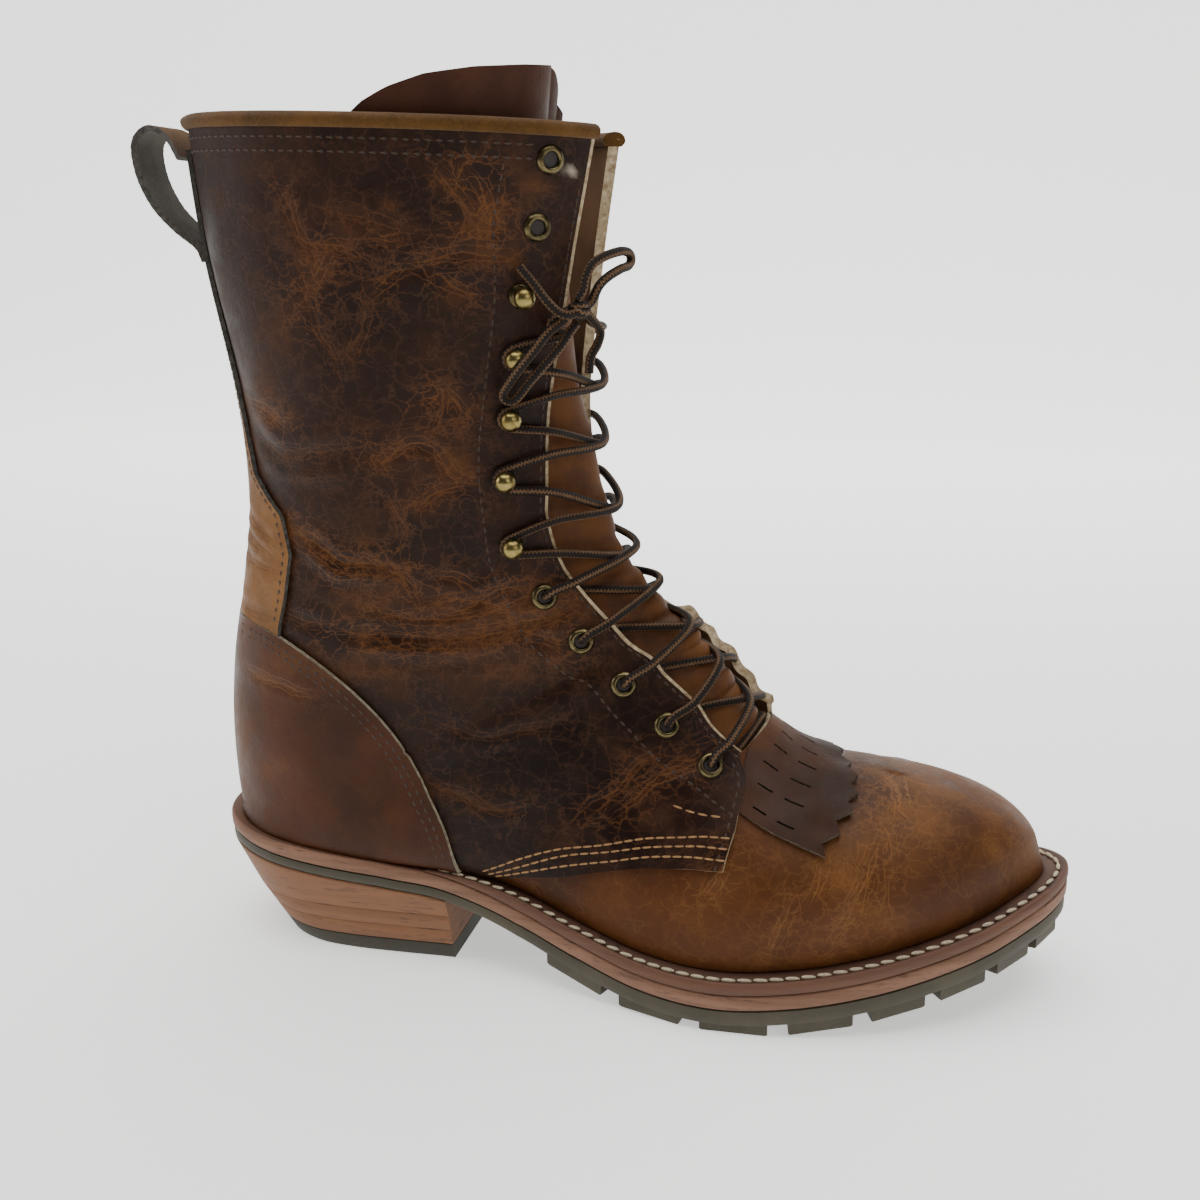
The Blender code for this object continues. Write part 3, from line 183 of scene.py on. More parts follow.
# Sections of the last, from the collar down the shaft, round the heel and along the foot to the toe.
COLUMNS = ("back_x", "back_z", "front_x", "front_z", "centre_y", "foot_out", "foot_in", "wide_out",
           "wide_in", "wide_at", "round_low", "round_up")
SECTIONS = (
    (6.0, 295.0, 153.0, 287.5, 0.0, 0.0, 0.0, 46.0, 46.0, 0.48, 2.2, 2.1),
    (10.0, 252.0, 148.0, 246.0, 0.0, 0.0, 0.0, 43.0, 43.0, 0.46, 2.2, 2.0),
    (17.5, 205.0, 144.5, 200.0, 0.0, 0.0, 0.0, 40.0, 40.0, 0.44, 2.1, 1.9),
    (19.0, 168.0, 150.5, 167.0, 0.0, 0.0, 0.0, 38.5, 38.0, 0.42, 2.1, 1.8),
    (14.5, 138.0, 155.0, 151.5, 0.0, 0.0, 0.0, 38.0, 37.5, 0.40, 2.1, 1.8),
    (8.0, 106.0, 161.5, 142.5, 0.0, 0.0, 0.0, 37.5, 36.5, 0.36, 2.1, 1.9),
    (5.2, 76.0, 168.5, 134.0, 0.0, 0.0, 0.0, 37.0, 36.0, 0.33, 2.1, 2.0),
    (6.5, 47.0, 176.0, 127.0, 0.0, 0.0, 0.0, 36.5, 35.5, 0.31, 2.1, 2.0),
    (11.0, 46.3, 181.5, 122.0, 0.0, 17.5, 17.0, 36.5, 35.5, 0.29, 2.1, 2.1),
    (25.0, 44.5, 186.0, 117.0, 0.0, 29.0, 28.5, 36.5, 35.0, 0.25, 2.1, 2.1),
    (45.0, 42.0, 190.5, 112.0, 0.0, 32.5, 31.5, 37.0, 35.0, 0.22, 2.1, 2.1),
    (70.0, 39.8, 195.0, 106.0, 0.0, 33.0, 31.5, 37.5, 34.5, 0.20, 2.1, 2.1),
    (95.0, 38.5, 199.0, 99.0, 0.0, 33.0, 30.0, 38.0, 34.0, 0.19, 2.1, 2.1),
    (120.0, 34.0, 204.0, 92.5, 0.0, 35.5, 28.5, 40.5, 34.5, 0.18, 2.1, 2.1),
    (145.0, 26.0, 210.0, 86.0, 0.0, 41.0, 30.5, 45.0, 37.0, 0.18, 2.1, 2.1),
    (170.0, 20.5, 218.0, 80.8, 0.0, 48.5, 35.5, 51.0, 41.0, 0.19, 2.1, 2.1),
    (195.0, 19.5, 228.0, 77.3, 0.5, 53.5, 41.5, 55.0, 46.0, 0.20, 2.1, 2.1),
    (220.0, 21.5, 240.0, 74.8, 1.0, 52.0, 45.0, 53.5, 48.0, 0.21, 2.1, 2.2),
    (243.0, 25.3, 254.0, 72.3, 1.5, 47.0, 44.0, 48.5, 46.5, 0.22, 2.1, 2.3),
    (262.0, 29.8, 267.5, 69.6, 1.8, 40.0, 38.5, 41.3, 40.5, 0.24, 2.1, 2.4),
    (278.0, 34.2, 279.5, 66.5, 2.0, 31.0, 30.0, 32.2, 31.5, 0.26, 2.1, 2.4),
    (290.0, 38.0, 288.5, 62.8, 2.0, 20.0, 19.5, 21.0, 20.5, 0.28, 2.1, 2.4),
    (298.5, 40.6, 295.0, 57.8, 2.0, 9.3, 9.3, 10.0, 10.0, 0.30, 2.1, 2.4),
    (301.5, 41.6, 298.0, 53.5, 2.0, 0.0, 0.0, 0.0, 0.0, 0.30, 2.1, 2.4),
)
HEEL_ROW = 7
TOE_ROW = len(SECTIONS) - 1
CURVE_POINTS = 97
FIRST_S, S_STEP = -0.9, 0.02

WALL = 2.4
QUARTER_STEP = 1.4
OVERLAY_GAP = 0.3
COUNTER_THICK = 1.8
BACKSTAY_THICK = 1.6
GAP = 0.3
# Throat: section place, then half width of the opening on the outer and on the inner side.
THROAT = ((0.0, 17.0, 17.0), (1.4, 19.5, 17.0), (3.0, 23.0, 17.0), (5.0, 20.3, 15.0),
          (7.0, 18.0, 12.5), (11.0, 18.6, 11.5), (13.4, 21.0, 12.0), (16.0, 24.0, 20.0),
          (19.0, 20.0, 20.0), (21.0, 11.0, 11.0), (22.0, 5.2, 5.6), (23.0, 0.0, 0.0))

# Seams seen from the side, as points (x, z).
QUARTER_FRONT = ((197.0, 84.0), (200.4, 78.1), (200.7, 74.3), (199.0, 64.0), (196.0, 52.4))
QUARTER_LOWER = ((196.0, 52.4), (185.2, 51.7), (167.7, 49.6), (153.7, 46.5), (139.3, 42.5),
                 (124.3, 40.5), (108.0, 37.0))
COUNTER_TOP = ((8.5, 124.5), (20.0, 124.5), (33.5, 123.0), (46.9, 117.6), (61.1, 108.0), (74.6, 94.7),
               (84.9, 79.8), (91.8, 66.0), (97.2, 54.0), (101.0, 38.0))
EYESTAY_SEAM = ((124, 277), (120, 258), (119, 236), (114, 204), (112, 189), (112, 172), (114, 151),
                (119, 137), (126, 123), (143, 109), (157, 96), (171, 83), (186, 74), (197, 68))
TAB_ARCS = (((111, 41), (124, 47), (138, 52), (153, 55), (170, 59), (187, 61), (196, 61.5)),
            ((113, 40), (126, 45), (140, 50), (155, 53), (171, 56.4), (186, 58.2), (195.5, 58.6)),
            ((116, 39.6), (128, 43.2), (142, 47), (157, 50.3), (171, 53.4), (185, 55), (195, 55.4)))
TAB_BAR = ((179, 69), (185, 67.6), (192, 67))
# Backstay: section place and t of its edge.
BACKSTAY = ((0.2, 0.085), (0.75, 0.09), (1.4, 0.10), (2.0, 0.12), (2.7, 0.16), (3.1, 0.25),
            (3.6, 0.275), (4.2, 0.265), (4.55, 0.255))

# Sole; the ledge is given by section place and width.
LEDGE = ((7.0, 8.5), (8.0, 7.4), (9.0, 6.2), (12.0, 5.4), (14.0, 6.6), (16.0, 7.2), (19.0, 7.6),
         (23.0, 8.2))
WELT_SEAT = 0.6
WELT_THICK = 4.6
WELT_END_THICK = 1.0
WELT_START_X = 88.0
WELT_FULL_X = 122.0
WELT_TUCK = 2.0
WELT_STEP_X, WELT_STEP_RUN = 70.0, 18.0
TOE_SLOPE = 0.36
SOLE_STATIONS = 150
MIDSOLE_THICK = 5.2
MIDSOLE_INSET, RUBBER_INSET = 0.1, 0.6
RUBBER_HEEL = 4.0
RUBBER_FORE = 5.6
RUBBER_FORE_X = 150.0
LUG_DEPTH = 4.4
LUG_START = 13.6
LUG_COUNT = 8
LUG_FILL = 0.76
LUG_WIDTH = 13.0
LUG_EDGE = 0.8
LUG_END_GAP = 0.5
LUG_ROOT = 1.6
LUG_WORN, LUG_WORN_INSET = 0.7, 0.07
CENTRE_LUG_COUNT, CENTRE_LUG_STEP, CENTRE_LUG_LENGTH = 5, 1.15, 0.6
CENTRE_LUG_FIRST, CENTRE_LUG_REACH = 1.0, 0.42
HEEL_BREAST_X = 95.0
HEEL_MIDDLE_X = 45.0
HEEL_POINTS = 60
HEEL_INSET, HEEL_GROOVE, HEEL_CORNER = 0.9, 1.15, 1.2
HEEL_GROOVE_HALF = 0.35
HEEL_SLANT = 0.22
HEEL_TAPER = 0.20
HEEL_CAP_THICK = 6.0
HEEL_LIFTS = 3

# Tongue, kiltie, binding and loop
TONGUE_THICK = 2.0
TONGUE_END = 14.9
TONGUE_CLEAR = 1.3
TONGUE_LEAN = 16.0
TONGUE_TUCK = 2.4
TONGUE_OUT_TOP, TONGUE_IN_TOP, TONGUE_HALF = 101.0, 22.0, 31.0
TONGUE_RISE = 0.44
TONGUE_TAN_TOP, TONGUE_TAN_FADE = 268.0, 22.0
TONGUE_TAN_LOW, TONGUE_LOW_FADE = 84.0, 6.0
TONGUE_CRACKLE = 0.3
TONGUE_RIPPLE, TONGUE_BULGE, TONGUE_BULGE_HALF = 0.4, 1.5, 15.0
# Crown of the tongue: share of the way across and share of the rise.
TONGUE_CROWN = ((0.0, 0.0), (0.05, 0.28), (0.12, 0.52), (0.22, 0.74), (0.35, 0.88), (0.5, 0.96), (0.64, 1.0),
                (0.72, 0.98), (0.77, 0.93), (0.81, 0.84), (0.85, 0.72), (0.92, 0.5), (1.0, 0.3))
KILTIE_THICK = 1.8
# Edges of the kiltie: way across from the ridge and section place.
KILTIE_FRONT = ((-50.0, 16.7), (-30.0, 16.95), (-19.0, 16.92), (-9.0, 16.7), (0.0, 16.4),
                (22.0, 15.7))
KILTIE_BACK = ((-42.0, 14.40), (-34.0, 14.05), (-28.0, 13.75), (-21.0, 13.4), (-15.0, 13.3), (8.0, 13.3),
               (14.0, 13.8), (20.0, 14.4), (26.0, 14.9))
KILTIE_TEETH = 8
KILTIE_TOOTH = 0.26
KILTIE_ROWS, TOOTH_COLUMNS = 46, 12
SLIT_COLUMN, SLIT_ROWS = 6, ((9, 17), (23, 32))
KILTIE_EDGE_THICK, KILTIE_SEAT = 0.8, 0.1
BINDING_THICK = 1.4
BINDING_SEAT = 0.7
ROLL_MIDDLE, ROLL_TOP = -0.5, 2.3
LOOP_ROUTE = ((-0.6, 284.0), (-5.0, 291.5), (-11.5, 294.2), (-17.0, 289.5), (-16.4, 279.0),
              (-11.5, 268.5), (-4.0, 260.5), (3.7, 254.5), (6.0, 249.5))
LOOP_WIDTH = 19.0
LOOP_THICK = 2.0

# Fittings on the outer side, as points (x, z) from the bottom of the lacing to the collar.
EYELETS_LOW = ((188.6, 81.3), (173.1, 94.1), (157.9, 107.5), (143.3, 122.5), (131.1, 138.0))
HOOKS = ((120.8, 156.1), (118.9, 178.5), (120.8, 198.7), (122.9, 218.4), (126.3, 237.8))
EYELETS_TOP = ((132.1, 258.8), (136.7, 279.0))
# Turned profiles of fittings and holes, as points (radius, height); the holes are dark discs of painted shade.
EYELET_PROFILE = ((2.5, -0.2), (2.35, 0.5), (2.6, 1.0), (3.1, 1.25), (3.7, 1.05), (4.2, 0.6),
                  (4.5, 0.05), (4.4, -0.2))
HOOK_BASE_PROFILE = ((1.2, -0.1), (3.9, -0.1), (4.0, 0.35), (3.7, 0.9), (3.0, 1.15), (2.1, 1.3),
                     (1.8, 1.8), (1.75, 3.4), (1.2, 3.5))
HOOK_BALL_PROFILE = ((0.0, 3.0), (1.9, 3.2), (2.9, 3.9), (3.45, 4.9), (3.5, 5.7), (3.2, 6.7),
                     (2.5, 7.7), (1.5, 8.35), (0.0, 8.6))
EYELET_HOLE_SHADE = ((0.0, 0.06), (1.6, 0.05), (2.55, 0.0), (0.0, -0.4))
STITCH_HOLE_SHADE = ((0.0, 0.2), (0.45, 0.17), (0.58, 0.0), (0.0, -0.4))
LACE_RADIUS = 1.5
LACE_FLAT = 0.88
CROSS_OVER, CROSS_UNDER = 2.6, -0.6
KNOT_RADIUS = 1.55
LEAD_GAP = 4.4
HOOK_LIFT = 3.8
# Knot: section place, turn round the section and lift.
KNOT_PLACE = (1.26, 0.874, 10.4)
# Bow loops and ends of the lace, as points (x, y, z) from the knot.
BOW_OUTER = ((141.8, -30.8, 230.6), (139.2, -32.6, 228.5), (136.4, -34.8, 225.8), (132.4, -37.7, 220.2),
             (127.6, -39.3, 214.2), (124.2, -38.4, 210.0), (122.5, -37.3, 207.6), (122.7, -36.3, 205.6),
             (124.7, -35.6, 204.9), (126.9, -35.3, 206.4), (130.4, -34.9, 210.7), (134.3, -34.1, 215.1),
             (139.9, -31.2, 221.7), (142.8, -29.2, 226.4), (144.6, -27.4, 229.0))
BOW_INNER = ((147.4, -25.2, 234.4), (149.0, -24.1, 236.1), (151.4, -24.3, 240.5), (153.8, -22.2, 243.2),
             (157.0, -17.1, 245.6), (157.9, -13.0, 246.1), (158.5, -10.2, 247.0), (158.7, -9.2, 248.7),
             (158.3, -10.2, 250.3), (157.4, -13.0, 251.0), (156.0, -16.6, 250.9), (152.8, -21.4, 249.6),
             (149.7, -25.2, 247.3), (147.9, -27.4, 243.4), (147.1, -28.4, 239.4), (145.4, -29.2, 236.4))
END_OUTER = ((145.0, -30.2, 232.4), (142.6, -32.3, 231.9), (139.9, -33.9, 233.2), (137.0, -35.9, 236.6),
             (132.5, -35.4, 242.2), (129.4, -34.7, 245.5), (128.3, -34.8, 247.0))
END_INNER = ((146.6, -25.6, 232.6), (148.1, -22.7, 230.6), (149.9, -17.4, 226.3), (149.1, -17.0, 222.1),
             (147.0, -18.5, 217.7), (146.3, -18.8, 212.5))

# Creases: depth (below zero is a trough), half width, share of tan and points (x, z).
CREASES = (
    (-1.1, 2.6, 0.85, ((57, 125), (70, 125), (90, 124), (109, 125), (121, 127), (129, 127))),
    (0.7, 2.4, 0.5, ((61, 120), (76, 120.5), (90, 120), (104, 121), (118, 122))),
    (-0.7, 2.2, 0.9, ((45, 160), (54, 156), (63, 150), (73, 150), (87, 150))),
    (0.6, 2.2, 0.7, ((46, 155), (54, 152), (62, 146), (71, 146), (78, 146))),
    (-0.5, 1.8, 0.8, ((79, 149), (86, 146), (89, 139))),
    (-0.8, 2.6, 0.35, ((28, 197), (35, 189), (44, 185), (55, 187), (68, 189), (75, 190))),
    (0.6, 2.4, 0.2, ((46, 181), (54, 179), (62, 180), (69, 182))),
    (-0.5, 1.8, 0.8, ((75, 189), (81, 186), (92, 191), (99, 188), (103, 182), (110, 177))),
    (-0.4, 1.7, 0.7, ((89, 167), (94, 172), (100, 176), (110, 177))),
    (-0.35, 1.6, 0.5, ((80, 176), (84, 170), (86, 162), (82, 152))),
    (-0.4, 1.7, 0.7, ((95, 146), (102, 146), (107, 143), (111, 140))),
    (-0.8, 2.2, 0.8, ((93, 133), (104, 134), (116, 140), (127, 143))),
    (-0.7, 2.2, 0.75, ((74, 135), (85, 131), (99, 131), (114, 133), (124, 138), (134, 141))),
    (-0.7, 2.2, 0.5, ((40, 130), (48, 128), (57, 127))),
    (-0.5, 2.0, 0.9, ((29, 202), (38, 200), (45, 195))),
    (-0.35, 1.6, 0.6, ((53, 272), (57, 264), (61, 255), (74, 254), (81, 249))),
    (-0.3, 3.6, 0.75, ((68, 251), (63, 244), (58, 237))),
    (-0.3, 1.5, 0.4, ((59, 246), (62, 229), (68, 219), (67, 212))),
    (-0.35, 1.7, 0.6, ((104, 278), (109, 271), (114, 263), (117, 258))),
    (-0.4, 2.4, 0.95, ((115, 275), (119, 266), (120, 259), (113, 258))),
    (-0.4, 1.9, 0.75, ((80, 238), (87, 243), (98, 248), (109, 251), (121, 251), (129, 249))),
    (-0.35, 1.7, 0.7, ((94, 248), (103, 244), (110, 240), (115, 238))),
    (-0.3, 1.6, 0.45, ((80, 238), (78, 230), (73, 219))),
    (-0.3, 1.7, 0.4, ((70, 265), (80, 263), (91, 259), (98, 257))),
    (-0.3, 1.6, 0.6, ((81, 256), (93, 255))),
    (-0.35, 1.9, 0.8, ((94, 204), (103, 207), (109, 200))),
    (-0.3, 1.7, 0.7, ((99, 212), (103, 207), (100, 197))),
    (-0.7, 2.3, 0.85, ((91, 137), (104, 138), (117, 135), (125, 130), (139, 134), (141, 139))),
    (-0.8, 2.4, 0.8, ((100, 127), (109, 128), (120, 130), (130, 124), (140, 121))),
    (-0.3, 1.6, 0.3, ((88, 96), (100, 92), (111, 89), (127, 93), (141, 94))),
    (-0.4, 1.8, 0.65, ((144, 64), (157, 73), (164, 82), (171, 86))),
    (-0.45, 1.9, 0.8, ((157, 65), (163, 70), (172, 78), (183, 82), (190, 87))),
    (-0.3, 1.6, 0.4, ((90, 73), (106, 67), (114, 64), (130, 66))),
    (-0.5, 1.8, 0.75, ((228, 59), (228, 54), (225, 47))),
    (-0.6, 2.2, 0.85, ((245, 68), (249, 64), (250, 58))),
    (-0.5, 1.8, 0.6, ((248, 58), (248, 50), (248, 40))),
    (-0.7, 2.2, 0.85, ((246, 63), (242, 55), (239, 45), (231, 30))),
    (-0.7, 2.6, 0.9, ((247, 74), (250, 72), (253, 69), (256, 67))),
    (-0.5, 2.0, 0.8, ((197, 55), (194, 49), (190, 44))),
    (-0.45, 2.0, 0.6, ((219, 49), (217, 40), (212, 27))),
    (0.5, 3.2, 0.1, ((236, 66), (238, 56), (234, 44))),
    (-0.3, 1.6, 0.6, ((16, 107), (34, 105), (53, 101))),
    (-0.45, 1.7, 0.9, ((17, 165), (25, 161), (38, 155))),
    (-0.45, 1.7, 0.9, ((16, 158), (25, 154), (38, 149))),
    (-0.4, 1.7, 0.8, ((14, 150), (24, 147), (38, 146))),
    (-0.35, 1.7, 0.7, ((10, 131), (22, 129), (36, 129))),
)
# Rubbed spots and dark stains: tan (above zero) or dark (below), radius along x and z, centre (x, z). The tan on the
# top of the toe is partly painted highlight.
SPOTS = (
    (0.75, 20, 9, (24, 150)), (0.6, 16, 14, (14, 170)), (0.5, 24, 7, (46, 158)),
    (0.42, 30, 8, (80, 140)), (0.45, 34, 7, (72, 113)), (0.5, 30, 9, (112, 116)),
    (0.5, 24, 10, (128, 131)), (0.4, 16, 12, (100, 187)), (0.35, 10, 16, (30, 200)),
    (0.85, 2.0, 2.0, (89, 266)), (0.6, 4.5, 3.0, (134, 271)), (0.35, 8, 9, (118, 262)),
    (-0.55, 34, 22, (110, 84)), (-0.35, 22, 20, (82, 215)), (-0.4, 20, 12, (62, 182)),
    (-0.45, 14, 12, (104, 152)), (-0.4, 16, 16, (84, 272)), (-0.3, 20, 12, (150, 72)),
    # The tan spots on the top of the toe, from (262, 70) to (300, 62), are partly rubbed wear and partly painted
    # highlight where the light falls on the toe.
    (0.45, 20, 12, (262, 70)), (0.4, 16, 10, (286, 58)), (0.8, 2.4, 2.0, (290, 60)),
    (0.6, 4.0, 2.4, (254, 40)), (-0.5, 16, 9, (264, 53)), (-0.4, 20, 12, (214, 38)),
    (0.3, 22, 10, (232, 62)), (-0.35, 26, 5, (170, 30)), (-0.3, 24, 5, (240, 31)),
    (0.4, 10, 30, (8, 84)), (0.35, 8, 5, (34, 72)), (-0.35, 24, 6, (50, 48)),
    (-0.3, 22, 14, (54, 92)), (0.65, 22, 16, (300, 62)), (-0.6, 20, 22, (84, 228)),
    (-0.4, 14, 10, (206, 52)),
)
# Pale scuff: centre (x, z) and radius.
WHITE_SCUFF = (142.5, 275.5, 1.1)
# Form and wear of a crease; places and widths count its half widths, the reach is in millimetres.
SHOULDER_AT, SHOULDER_WIDTH, SHOULDER_SHARE = 2.1, 0.9, 0.45
TAN_WIDTH, TAN_SHARE = 0.9, 0.6
CRACKLE_WIDTH = 4.5
LINE_REACH = 9.0
LINE_END_SHARE = 0.25
END_FADE = 0.25
CREASE_FROM, CREASE_RUN = 0.02, 0.06
INNER_SHIFT_X, INNER_SHIFT_Z = 5.0, 4.0


# Surface of the last
def column(name):
    return COLUMNS.index(name)


ROWS = np.array(SECTIONS, dtype=float)
FEATHER = [column("foot_out"), column("foot_in")]
HALVES = FEATHER + [column("wide_out"), column("wide_in")]
ROUND_HEEL = FEATHER + [column("back_x"), column("back_z")]


def section_row(s):
    """Smooth values of every column at section place s."""
    if s < 0.0:
        return ROWS[0] + s * (ROWS[1] - ROWS[0])
    i = min(int(s + 1e-9), TOE_ROW - 1)
    u = s - i
    first = 2.0 * ROWS[0] - ROWS[1] if i == 0 else ROWS[i - 1].copy()
    if i == HEEL_ROW:
        first[ROUND_HEEL] = ROWS[i + 1][ROUND_HEEL]
        first[FEATHER] *= -1.0
    last = ROWS[i + 2].copy() if i + 2 <= TOE_ROW else ROWS[TOE_ROW - 1].copy()
    if i + 2 > TOE_ROW:
        last[HALVES] *= -1.0
    a, b = ROWS[i], ROWS[i + 1]
    return 0.5 * (2.0 * a + (b - first) * u + (2.0 * first - 5.0 * a + 4.0 * b - last) * u ** 2
                  + (3.0 * a - first - 3.0 * b + last) * u ** 3)


def section_curve(s, side):
    """Points of one half section, evenly spaced from its back or bottom to its front or top."""
    row = dict(zip(COLUMNS, section_row(s)))
    ending = "out" if side == OUTER else "in"
    foot = max(row["foot_" + ending], 0.0) if s > HEEL_ROW else 0.0
    wide = max(row["wide_" + ending], foot * 1.004, 0.001)
    at, low, up = row["wide_at"], row["round_low"], row["round_up"]
    reach = at / (1.0 - (foot / wide) ** low) ** (1.0 / low)
    start = math.asin(min(1.0, (at / reach) ** (low / 2.0)))
    a = np.linspace(start, 0.0, 60)
    b = np.linspace(0.0, math.pi / 2.0, 90)[1:]
    along = np.concatenate([at - reach * np.sin(a) ** (2.0 / low),
                            at + (1.0 - at) * np.sin(b) ** (2.0 / up)])
    half = np.concatenate([wide * np.abs(np.cos(a)) ** (2.0 / low),
                           wide * np.abs(np.cos(b)) ** (2.0 / up)])
    points = np.stack([row["back_x"] + along * (row["front_x"] - row["back_x"]),
                       row["centre_y"] + side * half,
                       row["back_z"] + along * (row["front_z"] - row["back_z"])], axis=1)
    length = np.concatenate([[0.0], np.cumsum(np.linalg.norm(np.diff(points, axis=0), axis=1))])
    even = np.linspace(0.0, length[-1], CURVE_POINTS)
    return np.stack([np.interp(even, length, points[:, k]) for k in range(3)], axis=1)


TABLE_S = FIRST_S + S_STEP * np.arange(int(round((TOE_ROW - FIRST_S) / S_STEP)) + 1)
TABLE = np.array([[section_curve(s, side) for s in TABLE_S] for side in (OUTER, INNER)])
LENGTHS = np.linalg.norm(np.diff(TABLE, axis=2), axis=3).sum(axis=2)


def surface(s, t, side):
    """Points of the vamp surface; t runs from the back or bottom (0) to the front or top (1)."""
    s, t, side = (np.array(v) for v in np.broadcast_arrays(np.asarray(s, float), np.asarray(t, float),
                                                           np.asarray(side, int)))
    past = s > TOE_ROW
    s = np.where(past, 2 * TOE_ROW - s, s)
    over = t > 1.0
    t = np.where(over, 2.0 - t, t)
    under = (t < 0.0) & (s <= HEEL_ROW)
    t = np.where(t < 0.0, np.where(s <= HEEL_ROW, -t, 0.0), t)
    side = side * np.where(past, -1, 1) * np.where(over, -1, 1) * np.where(under, -1, 1)
    f = np.clip((s - FIRST_S) / S_STEP, 0.0, len(TABLE_S) - 1.001)
    g = np.clip(t, 0.0, 1.0) * (CURVE_POINTS - 1)
    i = f.astype(int)
    k = np.minimum(g.astype(int), CURVE_POINTS - 2)
    u, v = (f - i)[..., None], (g - k)[..., None]
    n = (side > 0).astype(int)
    low = TABLE[n, i, k] * (1 - v) + TABLE[n, i, k + 1] * v
    high = TABLE[n, i + 1, k] * (1 - v) + TABLE[n, i + 1, k + 1] * v
    return low * (1 - u) + high * u


def normals(s, t, side):
    """Unit normals of the vamp surface, pointing out."""
    s, t, side = np.broadcast_arrays(np.asarray(s, float), np.asarray(t, float), np.asarray(side, int))
    ds, dt = 0.06, 0.02
    near = np.abs(s - HEEL_ROW) <= ds
    along = surface(s + ds, t, side) - surface(np.where(near, s, s - ds), t, side)
    across = surface(s, t + dt, side) - surface(s, t - dt, side)
    normal = np.cross(across, along) * side[..., None]
    size = np.linalg.norm(normal, axis=-1, keepdims=True)
    return normal / np.maximum(size, 1e-9)


def lifted(s, t, side, lift):
    """Points at a distance from the vamp surface; the bottom edge lies on the seat of the sole."""
    s, t, side, lift = np.broadcast_arrays(np.asarray(s, float), np.asarray(t, float),
                                           np.asarray(side, int), np.asarray(lift, float))
    shared = (t >= 1.0) | (s >= TOE_ROW) | ((t <= 0.0) & (s <= HEEL_ROW))
    side = np.where(shared, OUTER, side)
    point = surface(s, t, side) + lift[..., None] * normals(s, t, side)
    floor = seat(point[..., 0])
    foot = s >= HEEL_ROW
    point[..., 2] = np.where(foot & (t <= 0.0), floor,
                             np.where(foot, np.maximum(point[..., 2], floor), point[..., 2]))
    return point


def section_length(s, side):
    return np.interp(s, TABLE_S, LENGTHS[0 if side == OUTER else 1])


def place_at(x, z):
    """Section place and t of the surface point seen at (x, z) from the outer side."""
    table = TABLE[0]
    miss = (table[..., 0] - x) ** 2 + (table[..., 2] - z) ** 2
    i, k = np.unravel_index(int(np.argmin(miss)), miss.shape)
    s, t, step_s, step_t = TABLE_S[i], k / (CURVE_POINTS - 1), S_STEP, 0.008
    for _ in range(10):
        tries = np.array([(s + a * step_s, t + b * step_t) for a in (-1, 0, 1) for b in (-1, 0, 1)])
        tries = np.clip(tries, (0.0, 0.0), (TOE_ROW, 1.0))
        found = surface(tries[:, 0], tries[:, 1], OUTER)
        s, t = tries[int(np.argmin((found[:, 0] - x) ** 2 + (found[:, 2] - z) ** 2))]
        step_s, step_t = step_s * 0.7, step_t * 0.7
    return float(s), float(t)


def table_value(table, s, number=1):
    return np.interp(s, [row[0] for row in table], [row[number] for row in table])


def throat_line(side):
    """The t of the throat edge at every tabled section."""
    edges = []
    for i, s in enumerate(TABLE_S):
        half = table_value(THROAT, s, 1 if side == OUTER else 2)
        curve = TABLE[0 if side == OUTER else 1, i]
        widths = np.abs(curve[:, 1] - section_row(s)[column("centre_y")])
        widest = int(np.argmax(widths))
        even = np.linspace(0.0, 1.0, CURVE_POINTS)[widest:]
        edges.append(0.75 if half >= widths[widest] else np.interp(-half, -widths[widest:], even))
    return np.array(edges)


FOOT_S = np.linspace(HEEL_ROW, TOE_ROW, 200)
FOOT_ROWS = np.array([section_row(s) for s in FOOT_S])
SEAT_X, SEAT_Z = FOOT_ROWS[:, column("back_x")], FOOT_ROWS[:, column("back_z")]


def seat(x):
    """Height of the bottom edge of the upper at a place along the boot."""
    x = np.asarray(x, float)
    return np.where(x > SEAT_X[-1], SEAT_Z[-1] + (x - SEAT_X[-1]) * TOE_SLOPE, np.interp(x, SEAT_X, SEAT_Z))


THROATS = {side: throat_line(side) for side in (OUTER, INNER)}


def throat_edge(s, side):
    return np.interp(s, TABLE_S, THROATS[side])


def smooth_route(route, count):
    """Evenly spaced points of a smooth curve through the route points."""
    route = np.array(route, dtype=float)
    padded = np.vstack([2 * route[0] - route[1], route, 2 * route[-1] - route[-2]])
    dense = []
    for i in range(1, len(padded) - 2):
        p0, p1, p2, p3 = padded[i - 1:i + 3]
        u = np.linspace(0.0, 1.0, 24, endpoint=False)[:, None]
        dense.append(0.5 * (2 * p1 + (p2 - p0) * u + (2 * p0 - 5 * p1 + 4 * p2 - p3) * u * u
                            + (3 * p1 - p0 - 3 * p2 + p3) * u ** 3))
    dense = np.vstack(dense + [route[-1:]])
    length = np.concatenate([[0.0], np.cumsum(np.linalg.norm(np.diff(dense, axis=0), axis=1))])
    even = np.linspace(0.0, length[-1], count)
    return np.stack([np.interp(even, length, dense[:, k]) for k in range(dense.shape[1])], axis=1)


